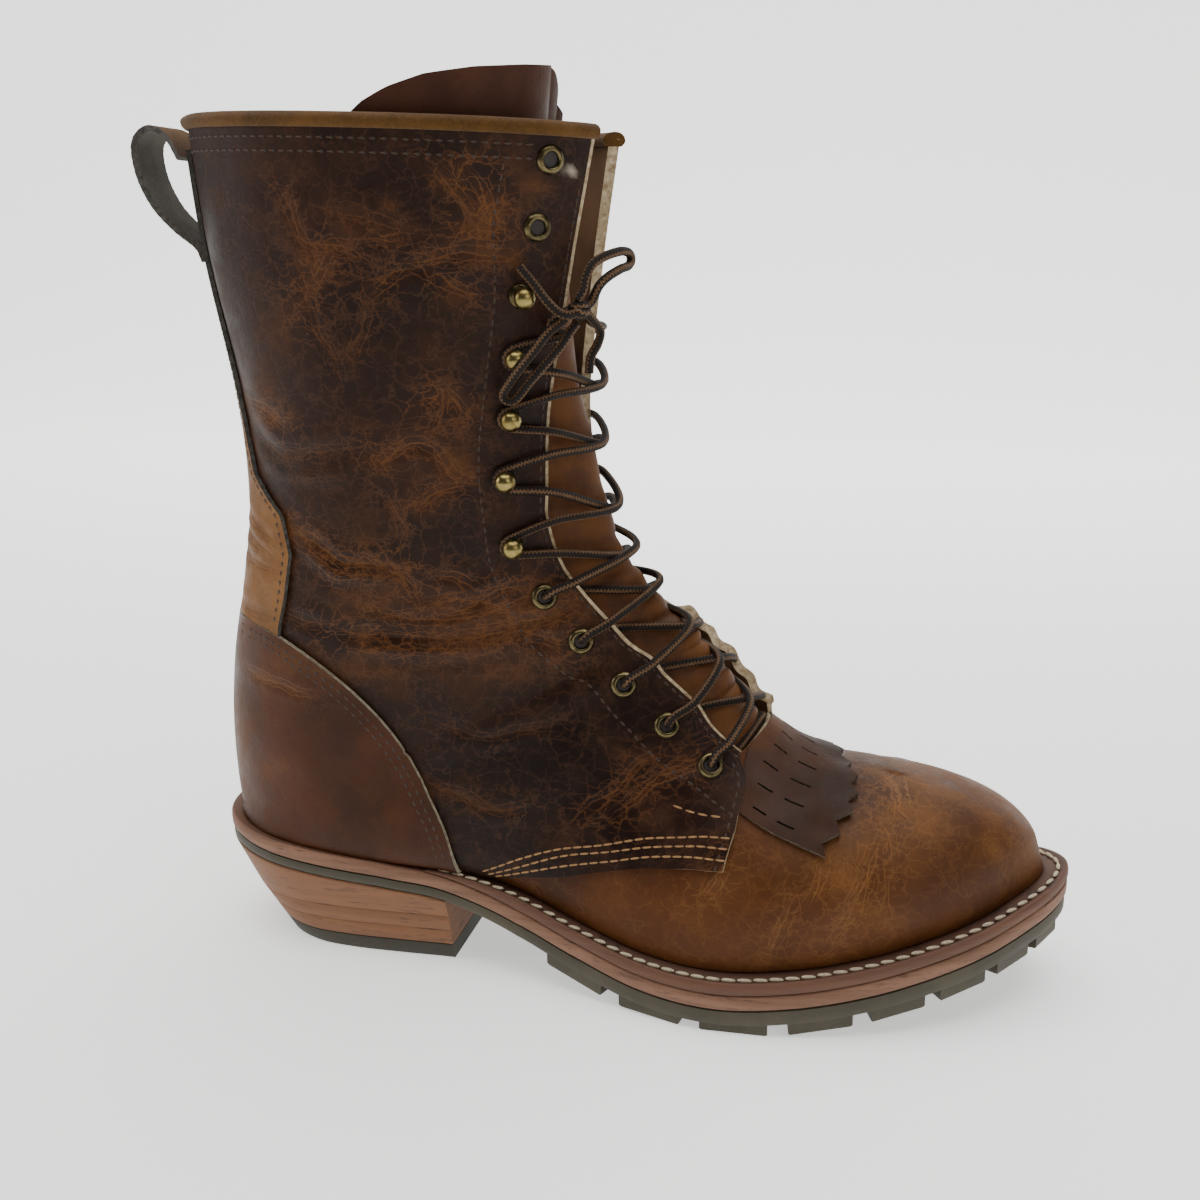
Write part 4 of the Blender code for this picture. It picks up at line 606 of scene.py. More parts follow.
# Creases and rubbed places
def line_distance(x, z, line):
    """Distance to a line of points, its sign by side, and a share that falls to zero at the two ends."""
    line = smooth_route(line, 4 * len(line))
    lengths = np.linalg.norm(np.diff(line, axis=0), axis=1)
    starts = np.concatenate([[0.0], np.cumsum(lengths)])
    best = np.full(x.shape, 1e9)
    along, sign = np.zeros(x.shape), np.ones(x.shape)
    for (ax, az), (bx, bz), size, start in zip(line, line[1:], lengths, starts):
        u = np.clip(((x - ax) * (bx - ax) + (z - az) * (bz - az)) / size ** 2, 0.0, 1.0)
        d = np.hypot(x - ax - u * (bx - ax), z - az - u * (bz - az))
        nearer = d < best
        best = np.where(nearer, d, best)
        along = np.where(nearer, start + u * size, along)
        above = (bx - ax) * (z - az) - (bz - az) * (x - ax) >= 0.0
        sign = np.where(nearer, np.where(above, 1.0, -1.0), sign)
    ends = np.minimum(along, starts[-1] - along) / (END_FADE * starts[-1] + 1e-6)
    return best, sign, np.clip(ends, 0.0, 1.0)


def seen_place(points):
    """Side view place of points; the inner side's creases lie a little apart from the outer side's."""
    inner = points[..., 1] > 1.0
    return (points[..., 0] + np.where(inner, INNER_SHIFT_X, 0.0),
            points[..., 2] + np.where(inner, INNER_SHIFT_Z, 0.0))


def crease_height(points):
    """Lift of the creases at points of the upper."""
    x, z = seen_place(points)
    height = np.zeros(x.shape)
    for depth, width, _, line in CREASES:
        d, _, ends = line_distance(x, z, line)
        trough = np.exp(-(d / width) ** 2)
        shoulder = np.exp(-((d - SHOULDER_AT * width) / (SHOULDER_WIDTH * width)) ** 2)
        height += depth * ends * (trough - SHOULDER_SHARE * shoulder)
    return height


def wear_and_highlight_fields(points):
    """Share of tan, of dark and of crackle at points of the upper, and their nearest crease line; the tan on the top
    of the toe is partly painted highlight.
    """
    x, z = seen_place(points)
    tan, dark, crackle, line_share = (np.zeros(x.shape) for _ in range(4))
    near, beside = np.full(x.shape, LINE_REACH), np.full(x.shape, LINE_REACH)
    for _, width, share, line in CREASES:
        d, sign, ends = line_distance(x, z, line)
        tan = np.maximum(tan, TAN_SHARE * share * ends * np.exp(-(d / (TAN_WIDTH * width)) ** 2))
        crackle = np.maximum(crackle, share * np.exp(-(d / (CRACKLE_WIDTH * width)) ** 2))
        closer = d < near
        near = np.where(closer, d, near)
        beside = np.where(closer, d * sign, beside)
        line_share = np.where(closer, share * (LINE_END_SHARE + (1.0 - LINE_END_SHARE) * ends), line_share)
    for share, radius_x, radius_z, (cx, cz) in SPOTS:
        fade = np.exp(-((x - cx) / radius_x) ** 2 - ((z - cz) / radius_z) ** 2)
        if share > 0.0:
            tan = np.maximum(tan, share * fade)
            crackle = np.maximum(crackle, share * fade)
        else:
            dark = np.maximum(dark, -share * fade)
    sx, sz, radius = WHITE_SCUFF
    scuff = np.exp(-((x - sx) ** 2 + (z - sz) ** 2) / radius ** 2) * (points[:, 1] < 0.0)
    return {"tan": tan, "dark": dark, "crackle": crackle, "scuff": scuff, "near": near, "beside": beside,
            "line_share": line_share}


def quiet_fields(points):
    """Even wear for the kiltie and the tongue; the tongue turns tan below the collar."""
    none = np.zeros(len(points))
    far = none + LINE_REACH
    height = points[:, 2]
    low = np.clip((TONGUE_TAN_TOP - height) / TONGUE_TAN_FADE, 0.0, 1.0)
    low = low * np.clip((height - TONGUE_TAN_LOW) / TONGUE_LOW_FADE, 0.0, 1.0)
    return {"tan": low, "dark": none, "crackle": TONGUE_CRACKLE * low, "scuff": none, "near": far,
            "beside": far, "line_share": none}


# Meshes
def without_repeats(ring):
    """The corners of a ring, less those that repeat the one before."""
    return [v for k, v in enumerate(ring) if v != ring[k - 1]]


def ring_faces(rings, size):
    """Faces between rings of points that follow one another, then the caps of the first and the last."""
    faces = []
    for k in range(rings - 1):
        for j in range(size):
            a, b = k * size + j, k * size + (j + 1) % size
            faces.append([a, b, b + size, a + size])
    return faces + [list(range(size)), list(range((rings - 1) * size, rings * size))]


class Sheet:
    """Gathers the front and back points of a wall and closes it into one solid."""

    def __init__(self):
        self.points, self.index, self.faces, self.slots, self.partner = [], {}, [], [], {}

    def vertex(self, point):
        key = (round(point[0], 3), round(point[1], 3), round(point[2], 3))
        if key not in self.index:
            self.index[key] = len(self.points)
            self.points.append(point)
        return self.index[key]

    def add_grid(self, front, back, slot_at, hole_at=None):
        """Grids of points, row by row; slot_at and hole_at take a row and column of a cell."""
        numbers = []
        for front_row, back_row in zip(np.asarray(front).tolist(), np.asarray(back).tolist()):
            line = []
            for a, b in zip(front_row, back_row):
                i = self.vertex(a)
                self.partner[i] = self.vertex(b)
                line.append(i)
            numbers.append(line)
        for r in range(len(numbers) - 1):
            for c in range(len(numbers[r]) - 1):
                if hole_at and hole_at(r, c):
                    continue
                ring = [numbers[r][c], numbers[r][c + 1], numbers[r + 1][c + 1], numbers[r + 1][c]]
                face = without_repeats(ring)
                if len(set(face)) >= 3:
                    self.faces.append(face)
                    self.slots.append(slot_at(r, c))

    def closed(self, back_slot, rim_slot):
        """Points, faces and slots of the wall with its back and its rim."""
        edges = {}
        for face in self.faces:
            for k, v in enumerate(face):
                edges.setdefault(tuple(sorted((face[k - 1], v))), []).append((face[k - 1], v))
        faces, slots = list(self.faces), list(self.slots)

        def add(ring, slot):
            face = without_repeats(ring)
            if len(set(face)) >= 3:
                faces.append(face)
                slots.append(slot)

        for face in self.faces:
            add([self.partner[v] for v in face[:1] + face[:0:-1]], back_slot)
        for uses in edges.values():
            if len(uses) == 1:
                a, b = uses[0]
                add([b, a, self.partner[a], self.partner[b]], rim_slot)
        return self.points, faces, slots


def tube(path, radius, sides=10, flat=1.0):
    """Closed tube along a path, with the length along it and the turn around it for each corner."""
    path = [Vector(p) for p in path]
    points, faces, corners = [], [], []
    across = None
    run = [0.0]
    for a, b in zip(path, path[1:]):
        run.append(run[-1] + (b - a).length)
    for i, p in enumerate(path):
        ahead = (path[min(i + 1, len(path) - 1)] - path[max(i - 1, 0)]).normalized()
        if across is None:
            across = ahead.cross(Vector((0.0, 0.0, 1.0)))
            across = across if across.length > 1e-3 else Vector((0.0, 1.0, 0.0))
        across = (across - ahead * across.dot(ahead)).normalized()
        other = ahead.cross(across)
        for k in range(sides):
            angle = 2.0 * math.pi * k / sides
            points.append(p + radius * (math.cos(angle) * across + flat * math.sin(angle) * other))
    for i in range(len(path) - 1):
        for k in range(sides):
            a, b = i * sides + k, i * sides + (k + 1) % sides
            faces.append([a, b, b + sides, a + sides])
            u, v = k / sides, (k + 1) / sides
            corners.append(((run[i], u), (run[i], v), (run[i + 1], v), (run[i + 1], u)))
    for row, turn in ((0, -1), (len(path) - 1, 1)):
        ring = list(range(row * sides, row * sides + sides))[::turn]
        faces.append(ring)
        corners.append(tuple((run[row], k / sides) for k in range(sides)))
    return [tuple(p) for p in points], faces, corners


def lathe(profile, segments):
    """Ring or knob around z from points (radius, height); closed where the radius is zero."""
    points, faces, rings = [], [], []
    for radius, height in profile:
        count = 1 if radius == 0.0 else segments
        rings.append(list(range(len(points), len(points) + count)))
        for k in range(count):
            angle = 2.0 * math.pi * k / segments
            points.append((radius * math.cos(angle), radius * math.sin(angle), height))
    closed = profile[0][0] > 0.0
    pairs = list(zip(rings, rings[1:])) + ([(rings[-1], rings[0])] if closed else [])
    for low, high in pairs:
        for k in range(segments):
            n = k + 1
            ring = [low[k % len(low)], low[n % len(low)], high[n % len(high)], high[k % len(high)]]
            faces.append(without_repeats(ring))
    return points, faces


def make_piece(name, points, faces, materials, nodes=(), slots=None, slot=None, corners=None,
               fields=None, sharp=38.0):
    """Finished piece that rides on the boot, stands for its nodes and carries its own attributes."""
    mesh = bpy.data.meshes.new(name)
    placed = (np.asarray(points, float) + SHIFT) * MM
    mesh.from_pydata(placed.tolist(), [], faces)
    for item in materials:
        mesh.materials.append(item)
    if slots is not None:
        mesh.polygons.foreach_set("material_index", slots)
    if corners is not None:
        layer = mesh.uv_layers.new(name="run")
        layer.data.foreach_set("uv", [v for ring in corners for pair in ring for v in pair])
    work = bmesh.new()
    work.from_mesh(mesh)
    bmesh.ops.recalc_face_normals(work, faces=work.faces)
    work.to_mesh(mesh)
    work.free()
    for label, values in (fields(np.asarray(points, float)) if fields else {}).items():
        mesh.attributes.new(label, "FLOAT", "POINT").data.foreach_set("value", values)
    mesh.shade_smooth()
    mesh.set_sharp_from_angle(angle=math.radians(sharp))
    return ride(bpy.data.objects.new(name, mesh), nodes, slot)


def ride(made, nodes=(), slot=None):
    """Put a finished object on the boot's body, in place of its nodes and with its slot."""
    if made.name not in bpy.context.scene.collection.objects:
        bpy.context.scene.collection.objects.link(made)
    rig.ride(made, BODY)
    if nodes:
        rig.replaces(made, *nodes)
    if slot:
        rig.slot(made, slot)
    return made


# Materials
class Finish:
    """Node material with short calls for its usual nodes."""

    def __init__(self, name):
        self.material = bpy.data.materials.new(name)
        self.material.use_nodes = True
        self.tree = self.material.node_tree
        self.shader = self.tree.nodes["Principled BSDF"]
        self.place = self.node("ShaderNodeTexCoord").outputs["Object"]

    def node(self, kind, **values):
        made = self.tree.nodes.new(kind)
        for key, value in values.items():
            setattr(made, key, value)
        return made

    def feed(self, socket, value):
        if isinstance(value, bpy.types.NodeSocket):
            self.tree.links.new(value, socket)
        else:
            socket.default_value = value

    def noise(self, scale, detail=4.0, rough=0.55, place=None):
        made = self.node("ShaderNodeTexNoise")
        self.feed(made.inputs["Vector"], self.place if place is None else place)
        for label, value in (("Scale", scale), ("Detail", detail), ("Roughness", rough)):
            made.inputs[label].default_value = value
        return made

    def stretched(self, sizes):
        made = self.node("ShaderNodeMapping")
        self.feed(made.inputs["Vector"], self.place)
        made.inputs["Scale"].default_value = sizes
        return made.outputs["Vector"]

    def cells(self, scale, place):
        made = self.node("ShaderNodeTexVoronoi", feature="DISTANCE_TO_EDGE")
        self.feed(made.inputs["Vector"], place)
        made.inputs["Scale"].default_value = scale
        return made.outputs["Distance"]

    def band(self, value, low, high, to_low=0.0, to_high=1.0):
        made = self.node("ShaderNodeMapRange", interpolation_type="SMOOTHSTEP")
        self.feed(made.inputs["Value"], value)
        for label, number in (("From Min", low), ("From Max", high), ("To Min", to_low),
                              ("To Max", to_high)):
            made.inputs[label].default_value = number
        return made.outputs["Result"]

    def math(self, operation, a, b=0.0):
        made = self.node("ShaderNodeMath", operation=operation)
        self.feed(made.inputs[0], a)
        self.feed(made.inputs[1], b)
        return made.outputs["Value"]

    def attribute(self, name):
        return self.node("ShaderNodeAttribute", attribute_name=name).outputs["Fac"]

    def mix(self, share, a, b):
        made = self.node("ShaderNodeMix", data_type="RGBA")
        self.feed(made.inputs[0], share)
        self.feed(made.inputs[6], a)
        self.feed(made.inputs[7], b)
        return made.outputs[2]

    def finish(self, colour, rough, heights=(), distance=0.001, strength=1.0, **sockets):
        self.feed(self.shader.inputs["Base Color"], colour)
        self.feed(self.shader.inputs["Roughness"], rough)
        for label, value in sockets.items():
            self.shader.inputs[label.replace("_", " ")].default_value = value
        total = None
        for height, share in heights:
            part = self.math("MULTIPLY", height, share)
            total = part if total is None else self.math("ADD", total, part)
        if total is not None:
            bump = self.node("ShaderNodeBump")
            bump.inputs["Strength"].default_value = strength
            bump.inputs["Distance"].default_value = distance
            self.feed(bump.inputs["Height"], total)
            self.feed(self.shader.inputs["Normal"], bump.outputs["Normal"])
        return self.material


def shade(colour, factor):
    return tuple(c * factor for c in colour[:3]) + (1.0,)


# Rubbed lines beside a crease: noise channel that moves the line, place, half width and share.
RUBBED_LINES = (("Red", 3.5, 0.45, 0.9), ("Green", 5.6, 0.36, 0.75), ("Blue", 1.8, 0.36, 0.7))
LINE_WANDER = 7.0
SCUFF_COLOUR = (0.50, 0.42, 0.33, 1.0)


def oiled_leather(name, colour, rubbed, vein, crackle=1.0, gloss=0.42, contrast=1.0):
    """Pull-up leather: cloudy colour, thin pale cracks along the creases, rubbed places, painted highlight on the top
    of the toe, fine grain.
    """
    f = Finish(name)
    cloud = f.noise(15.0, 4.0, 0.6).outputs["Fac"]
    small_noise = f.noise(75.0, 5.0, 0.62)
    small = small_noise.outputs["Fac"]
    local = f.attribute("crackle")
    base = f.mix(f.band(cloud, 0.34, 0.68), shade(colour, 0.45), shade(colour, 1.2))
    mottle = f.math("MULTIPLY", f.band(small, 0.42, 0.78),
                    f.math("ADD", f.math("MULTIPLY", local, 0.35), 0.14 * contrast))
    base = f.mix(mottle, base, rubbed)
    # Wandering hair cracks, everywhere faint and strong in the creased places.
    long = f.math("ABSOLUTE", f.math("SUBTRACT", f.noise(34.0, 5.0, 0.55).outputs["Fac"], 0.5))
    level = f.stretched((0.55, 0.55, 1.7))
    fold = f.math("ABSOLUTE", f.math("SUBTRACT", f.noise(62.0, 4.0, 0.6, level).outputs["Fac"], 0.5))
    push = f.node("ShaderNodeVectorMath", operation="MULTIPLY_ADD")
    f.feed(push.inputs[0], small_noise.outputs["Color"])
    push.inputs[1].default_value = (0.016, 0.016, 0.016)
    f.feed(push.inputs[2], f.place)
    web = f.band(f.cells(150.0, push.outputs["Vector"]), 0.0, 0.06, 1.0, 0.0)
    faint = f.math("MULTIPLY", f.band(long, 0.0, 0.010, 1.0, 0.0), 0.45)
    faint = f.math("MAXIMUM", faint, f.math("MULTIPLY", f.band(fold, 0.0, 0.016, 1.0, 0.0),
                                            f.math("ADD", f.math("MULTIPLY", local, 0.9), 0.06)))
    web_share = f.math("ADD", f.math("MULTIPLY", local, 0.75), 0.26)
    faint = f.math("MAXIMUM", faint, f.math("MULTIPLY", web, web_share))
    # Thin rubbed lines that follow the creases, three side by side.
    wander = f.node("ShaderNodeSeparateColor")
    f.feed(wander.inputs[0], small_noise.outputs["Color"])
    lines = None
    for channel, place, width, share in RUBBED_LINES:
        moved = f.math("ADD", f.attribute("beside"), f.math("MULTIPLY", wander.outputs[channel], LINE_WANDER))
        away = f.math("ABSOLUTE", f.math("SUBTRACT", moved, place))
        line = f.math("MULTIPLY", f.band(away, 0.08, width, 1.0, 0.0), share)
        lines = line if lines is None else f.math("MAXIMUM", lines, line)
    close = f.band(f.attribute("near"), 5.5, 8.5, 1.0, 0.0)
    lines = f.math("MULTIPLY", f.math("MULTIPLY", lines, close), f.attribute("line_share"))
    # Tan where the tan attribute is high: rubbed wear, and painted highlight on the top of the toe.
    colour_now = f.mix(f.math("MULTIPLY", f.attribute("tan"), f.band(small, 0.3, 0.65, 0.25, 0.9)), base,
                       shade(rubbed, 0.8))
    colour_now = f.mix(f.math("MULTIPLY", f.attribute("dark"), 0.85), colour_now, shade(colour, 0.34))
    colour_now = f.mix(f.math("MINIMUM", f.math("MULTIPLY", faint, 0.75 * crackle), 1.0), colour_now,
                       f.mix(local, vein, rubbed))
    colour_now = f.mix(f.math("MULTIPLY", lines, 0.75 * min(1.0, 0.4 + crackle)), colour_now, rubbed)
    colour_now = f.mix(f.math("MULTIPLY", f.attribute("scuff"), 0.8), colour_now, SCUFF_COLOUR)
    grain = f.noise(1100.0, 2.0, 0.6).outputs["Fac"]
    rough = f.band(small, 0.25, 0.8, gloss - 0.06, gloss + 0.2)
    heights = ((small, 0.9), (grain, 0.22), (lines, -0.35))
    return f.finish(colour_now, rough, heights, 0.0006, 0.7, Specular_IOR_Level=0.15)


def suede(name, colour, rubbed):
    f = Finish(name)
    nap = f.noise(900.0, 5.0, 0.7).outputs["Fac"]
    cloud = f.noise(45.0, 5.0, 0.65).outputs["Fac"]
    base = f.mix(f.band(cloud, 0.3, 0.72), shade(colour, 0.62), rubbed)
    base = f.mix(f.math("MULTIPLY", f.band(nap, 0.35, 0.7), 0.5), base, shade(colour, 1.5))
    return f.finish(base, 0.92, ((nap, 0.6), (cloud, 0.3)), 0.0007, 0.8, Sheen_Weight=0.08,
                    Sheen_Roughness=0.5, Specular_IOR_Level=0.2)


def raw_edge(name, pale, dark):
    """Cut edge of leather in thin layers of fibre."""
    f = Finish(name)
    fibre = f.noise(520.0, 5.0, 0.7).outputs["Fac"]
    patch = f.noise(60.0, 4.0).outputs["Fac"]
    base = f.mix(f.band(fibre, 0.3, 0.7), dark, pale)
    base = f.mix(f.math("MULTIPLY", f.band(patch, 0.48, 0.72), 0.6), base, dark)
    return f.finish(base, 0.85, ((fibre, 0.7),), 0.0005, 0.7)


def sole_edge(name, colour, streak, dark):
    """Stacked sole leather: long level streaks, dark nicks and a dull rubbed finish."""
    f = Finish(name)
    long = f.noise(90.0, 6.0, 0.68, f.stretched((0.16, 0.16, 3.2))).outputs["Fac"]
    nick = f.noise(240.0, 5.0, 0.7, f.stretched((0.35, 0.35, 2.6))).outputs["Fac"]
    cloud = f.noise(18.0, 3.0).outputs["Fac"]
    base = f.mix(f.band(long, 0.34, 0.66), streak, colour)
    base = f.mix(f.math("MULTIPLY", f.band(nick, 0.53, 0.68), 0.85), base, dark)
    base = f.mix(f.math("MULTIPLY", f.band(cloud, 0.45, 0.7), 0.35), base, streak)
    return f.finish(base, 0.68, ((long, 0.6), (nick, -0.5)), 0.0006, 0.6)


def rubber(name, colour, dust):
    f = Finish(name)
    cloud = f.noise(40.0, 5.0, 0.6).outputs["Fac"]
    grain = f.noise(700.0, 3.0).outputs["Fac"]
    base = f.mix(f.band(cloud, 0.40, 0.72), colour, dust)
    return f.finish(base, f.band(cloud, 0.3, 0.8, 0.55, 0.78), ((grain, 0.4), (cloud, 0.4)), 0.0004, 0.5)


def antique_brass(name, colour, tarnish):
    f = Finish(name)
    cloud = f.noise(320.0, 4.0, 0.6).outputs["Fac"]
    spots = f.noise(1500.0, 3.0).outputs["Fac"]
    base = f.mix(f.band(cloud, 0.42, 0.74), colour, tarnish)
    return f.finish(base, f.band(cloud, 0.3, 0.8, 0.24, 0.46), ((spots, 0.3),), 0.0002, 0.35, Metallic=1.0)


def braided_lace(name, dark, pale):
    """Waxed braid: three pale zigzag stripes along a dark cord."""
    f = Finish(name)
    parts = f.node("ShaderNodeSeparateXYZ")
    f.feed(parts.inputs[0], f.node("ShaderNodeUVMap", uv_map="run").outputs["UV"])
    along, turn = parts.outputs["X"], parts.outputs["Y"]
    teeth = f.math("ABSOLUTE", f.math("SUBTRACT", f.math("FRACT", f.math("MULTIPLY", along, 0.8)), 0.5))
    wave = f.math("FRACT", f.math("ADD", f.math("MULTIPLY", turn, 3.0), f.math("MULTIPLY", teeth, 0.55)))
    half = f.math("ABSOLUTE", f.math("SUBTRACT", wave, 0.5))
    stripe = f.band(half, 0.29, 0.36)
    plait = f.math("FRACT", f.math("ADD", f.math("MULTIPLY", along, 1.44), f.math("MULTIPLY", turn, 4.0)))
    ridge = f.math("ABSOLUTE", f.math("SUBTRACT", plait, 0.5))
    fuzz = f.noise(900.0, 4.0, 0.7).outputs["Fac"]
    colour = f.mix(stripe, dark, f.mix(f.band(fuzz, 0.3, 0.7), shade(pale, 0.6), pale))
    # Painted shade: the cord is darker in the grooves between the plaits, where the bump is low.
    colour = f.mix(f.band(ridge, 0.0, 0.16, 0.65, 0.0), colour, shade(dark, 0.5))
    return f.finish(colour, 0.7, ((ridge, 1.0), (fuzz, 0.35)), 0.0005, 0.8, Specular_IOR_Level=0.22)


def thread(name, colour):
    f = Finish(name)
    strand = f.noise(1300.0, 3.0).outputs["Fac"]
    patch = f.noise(70.0, 3.0).outputs["Fac"]
    base = f.mix(f.band(strand, 0.3, 0.7), shade(colour, 0.62), colour)
    base = f.mix(f.math("MULTIPLY", f.band(patch, 0.5, 0.75), 0.4), base, shade(colour, 0.4))
    return f.finish(base, 0.75, ((strand, 0.6),), 0.0003, 0.6)


def lining(name, colour):
    f = Finish(name)
    cloud = f.noise(30.0, 5.0, 0.6).outputs["Fac"]
    nap = f.noise(800.0, 4.0, 0.7).outputs["Fac"]
    base = f.mix(f.band(cloud, 0.3, 0.7), shade(colour, 0.65), shade(colour, 1.15))
    return f.finish(base, 0.85, ((nap, 0.6),), 0.0005, 0.6)


# Finishes: maker, material name, then its values. A word is a colour of the property group, a word with a
# number is that colour times the number, three numbers are a colour, and the rest are plain values.
FINISH_TABLE = {
    "quarter": (oiled_leather, "quarter leather", "quarter", "rubbed", "vein"),
    "vamp": (oiled_leather, "vamp leather", "vamp", "vamp_rubbed", "vamp_rubbed", 0.55, 0.48, 0.7),
    "counter": (oiled_leather, "counter leather", "counter", "vamp_rubbed", "vein", 0.3, 0.40, 0.7),
    "backstay": (oiled_leather, "backstay leather", "backstay", "rubbed", "vein", 0.6, 0.5),
    "kiltie": (oiled_leather, "kiltie leather", "kiltie", "rubbed", "vein", 0.35, 0.55, 0.6),
    "tongue": (oiled_leather, "tongue leather", "tongue_top", "tongue_low", "vein", 0.6, 0.55, 0.3),
    "suede": (suede, "collar suede", "suede", ("suede", 1.3)),
    "strap": (suede, "strap flesh side", (0.060, 0.054, 0.044), (0.11, 0.10, 0.082)),
    "raw": (raw_edge, "cut edge", (0.50, 0.40, 0.25), (0.20, 0.125, 0.060)),
    "kiltie_edge": (raw_edge, "kiltie edge", (0.11, 0.075, 0.048), (0.018, 0.010, 0.007)),
    "grey_edge": (raw_edge, "grey cut edge", (0.085, 0.076, 0.062), (0.022, 0.018, 0.014)),
    "pale_edge": (raw_edge, "pale cut edge", (0.40, 0.35, 0.25), (0.13, 0.10, 0.060)),
    "lining": (lining, "lining leather", (0.130, 0.060, 0.022)),
    "insole": (lining, "insole leather", (0.200, 0.110, 0.050)),
    "welt": (sole_edge, "welt leather", (0.052, 0.019, 0.0085), (0.078, 0.029, 0.013),
             (0.016, 0.0065, 0.0035)),
    "welt_edge": (sole_edge, "welt edge", (0.125, 0.048, 0.020), (0.085, 0.031, 0.013), (0.08, 0.035, 0.02)),
    "midsole": (sole_edge, "midsole edge", "midsole", (0.150, 0.066, 0.033), (0.060, 0.025, 0.012)),
    "heel": (sole_edge, "stacked heel", "heel", (0.165, 0.068, 0.026), (0.075, 0.030, 0.012)),
    "rubber": (rubber, "outsole rubber", "rubber", (0.072, 0.060, 0.036)),
    "heel_cap": (rubber, "heel cap rubber", ("rubber", 0.62), (0.045, 0.038, 0.024)),
    # The hole finish is painted shade: the dark of the stitch holes and of the eyelet openings.
    "hole": (rubber, "stitch hole", (0.012, 0.006, 0.004), (0.02, 0.010, 0.006)),
    "brass": (antique_brass, "antique brass", "brass", (0.14, 0.095, 0.030)),
    "dark_brass": (antique_brass, "dark brass", (0.075, 0.056, 0.026), (0.022, 0.017, 0.010)),
    "eyelet": (antique_brass, "eyelet brass", (0.125, 0.098, 0.046), (0.03, 0.023, 0.012)),
    "lace": (braided_lace, "braided lace", "lace", "lace_pale"),
    "brown_thread": (thread, "brown thread", (0.085, 0.036, 0.013)),
    "tan_thread": (thread, "tan thread", (0.36, 0.19, 0.072)),
    "cream_thread": (thread, "cream thread", (0.60, 0.50, 0.34)),
}
FINISHES = {}


def full(colour):
    return (colour[0], colour[1], colour[2], 1.0)


def finish_value(value):
    """A value of the finish table as its maker takes it."""
    colours = bpy.context.scene.boot_colours
    if isinstance(value, str):
        return full(getattr(colours, value))
    if not isinstance(value, tuple):
        return value
    if isinstance(value[0], str):
        return shade(getattr(colours, value[0]), value[1])
    return full(value)


def finish_named(name):
    """A material of the boot, made the first time it is asked for."""
    if name not in FINISHES:
        maker, label, *values = FINISH_TABLE[name]
        FINISHES[name] = maker(label, *(finish_value(value) for value in values))
    return FINISHES[name]


def finishes(*names):
    return [finish_named(name) for name in names]


# Geometry Nodes: one part set along paths, or at points
def set_tree(name, along_paths):
    """Tree that sets a part along the edges of a path mesh, or at its points, with its z on "up"."""
    tree = bpy.data.node_groups.new(name, "GeometryNodeTree")
    tree.interface.new_socket("Geometry", in_out="INPUT", socket_type="NodeSocketGeometry")
    tree.interface.new_socket("Part", in_out="INPUT", socket_type="NodeSocketObject")
    tree.interface.new_socket("Pitch", in_out="INPUT", socket_type="NodeSocketFloat")
    tree.interface.new_socket("Material", in_out="INPUT", socket_type="NodeSocketMaterial")
    tree.interface.new_socket("Geometry", in_out="OUTPUT", socket_type="NodeSocketGeometry")
    new, link = tree.nodes.new, tree.links.new
    start, end = new("NodeGroupInput"), new("NodeGroupOutput")
    part = new("GeometryNodeObjectInfo")
    link(start.outputs["Part"], part.inputs["Object"])
    up, ahead = new("GeometryNodeInputNamedAttribute"), new("GeometryNodeInputNamedAttribute")
    for item, label in ((up, "up"), (ahead, "ahead")):
        item.data_type = "FLOAT_VECTOR"
        item.inputs["Name"].default_value = label
    turn = new("FunctionNodeAxesToRotation")
    turn.primary_axis, turn.secondary_axis = "Z", "X"
    link(up.outputs["Attribute"], turn.inputs["Primary Axis"])
    place = new("GeometryNodeInstanceOnPoints")
    if along_paths:
        curve, even = new("GeometryNodeMeshToCurve"), new("GeometryNodeResampleCurve")
        even.mode = "LENGTH"
        link(start.outputs["Geometry"], curve.inputs["Mesh"])
        link(curve.outputs["Curve"], even.inputs["Curve"])
        link(start.outputs["Pitch"], even.inputs["Length"])
        link(even.outputs["Curve"], place.inputs["Points"])
        link(new("GeometryNodeInputTangent").outputs["Tangent"], turn.inputs["Secondary Axis"])
    else:
        link(start.outputs["Geometry"], place.inputs["Points"])
        link(ahead.outputs["Attribute"], turn.inputs["Secondary Axis"])
    link(part.outputs["Geometry"], place.inputs["Instance"])
    link(turn.outputs["Rotation"], place.inputs["Rotation"])
    real, paint = new("GeometryNodeRealizeInstances"), new("GeometryNodeSetMaterial")
    link(place.outputs["Instances"], real.inputs["Geometry"])
    link(real.outputs["Geometry"], paint.inputs["Geometry"])
    link(start.outputs["Material"], paint.inputs["Material"])
    link(paint.outputs["Geometry"], end.inputs["Geometry"])
    return tree


TREES = {}


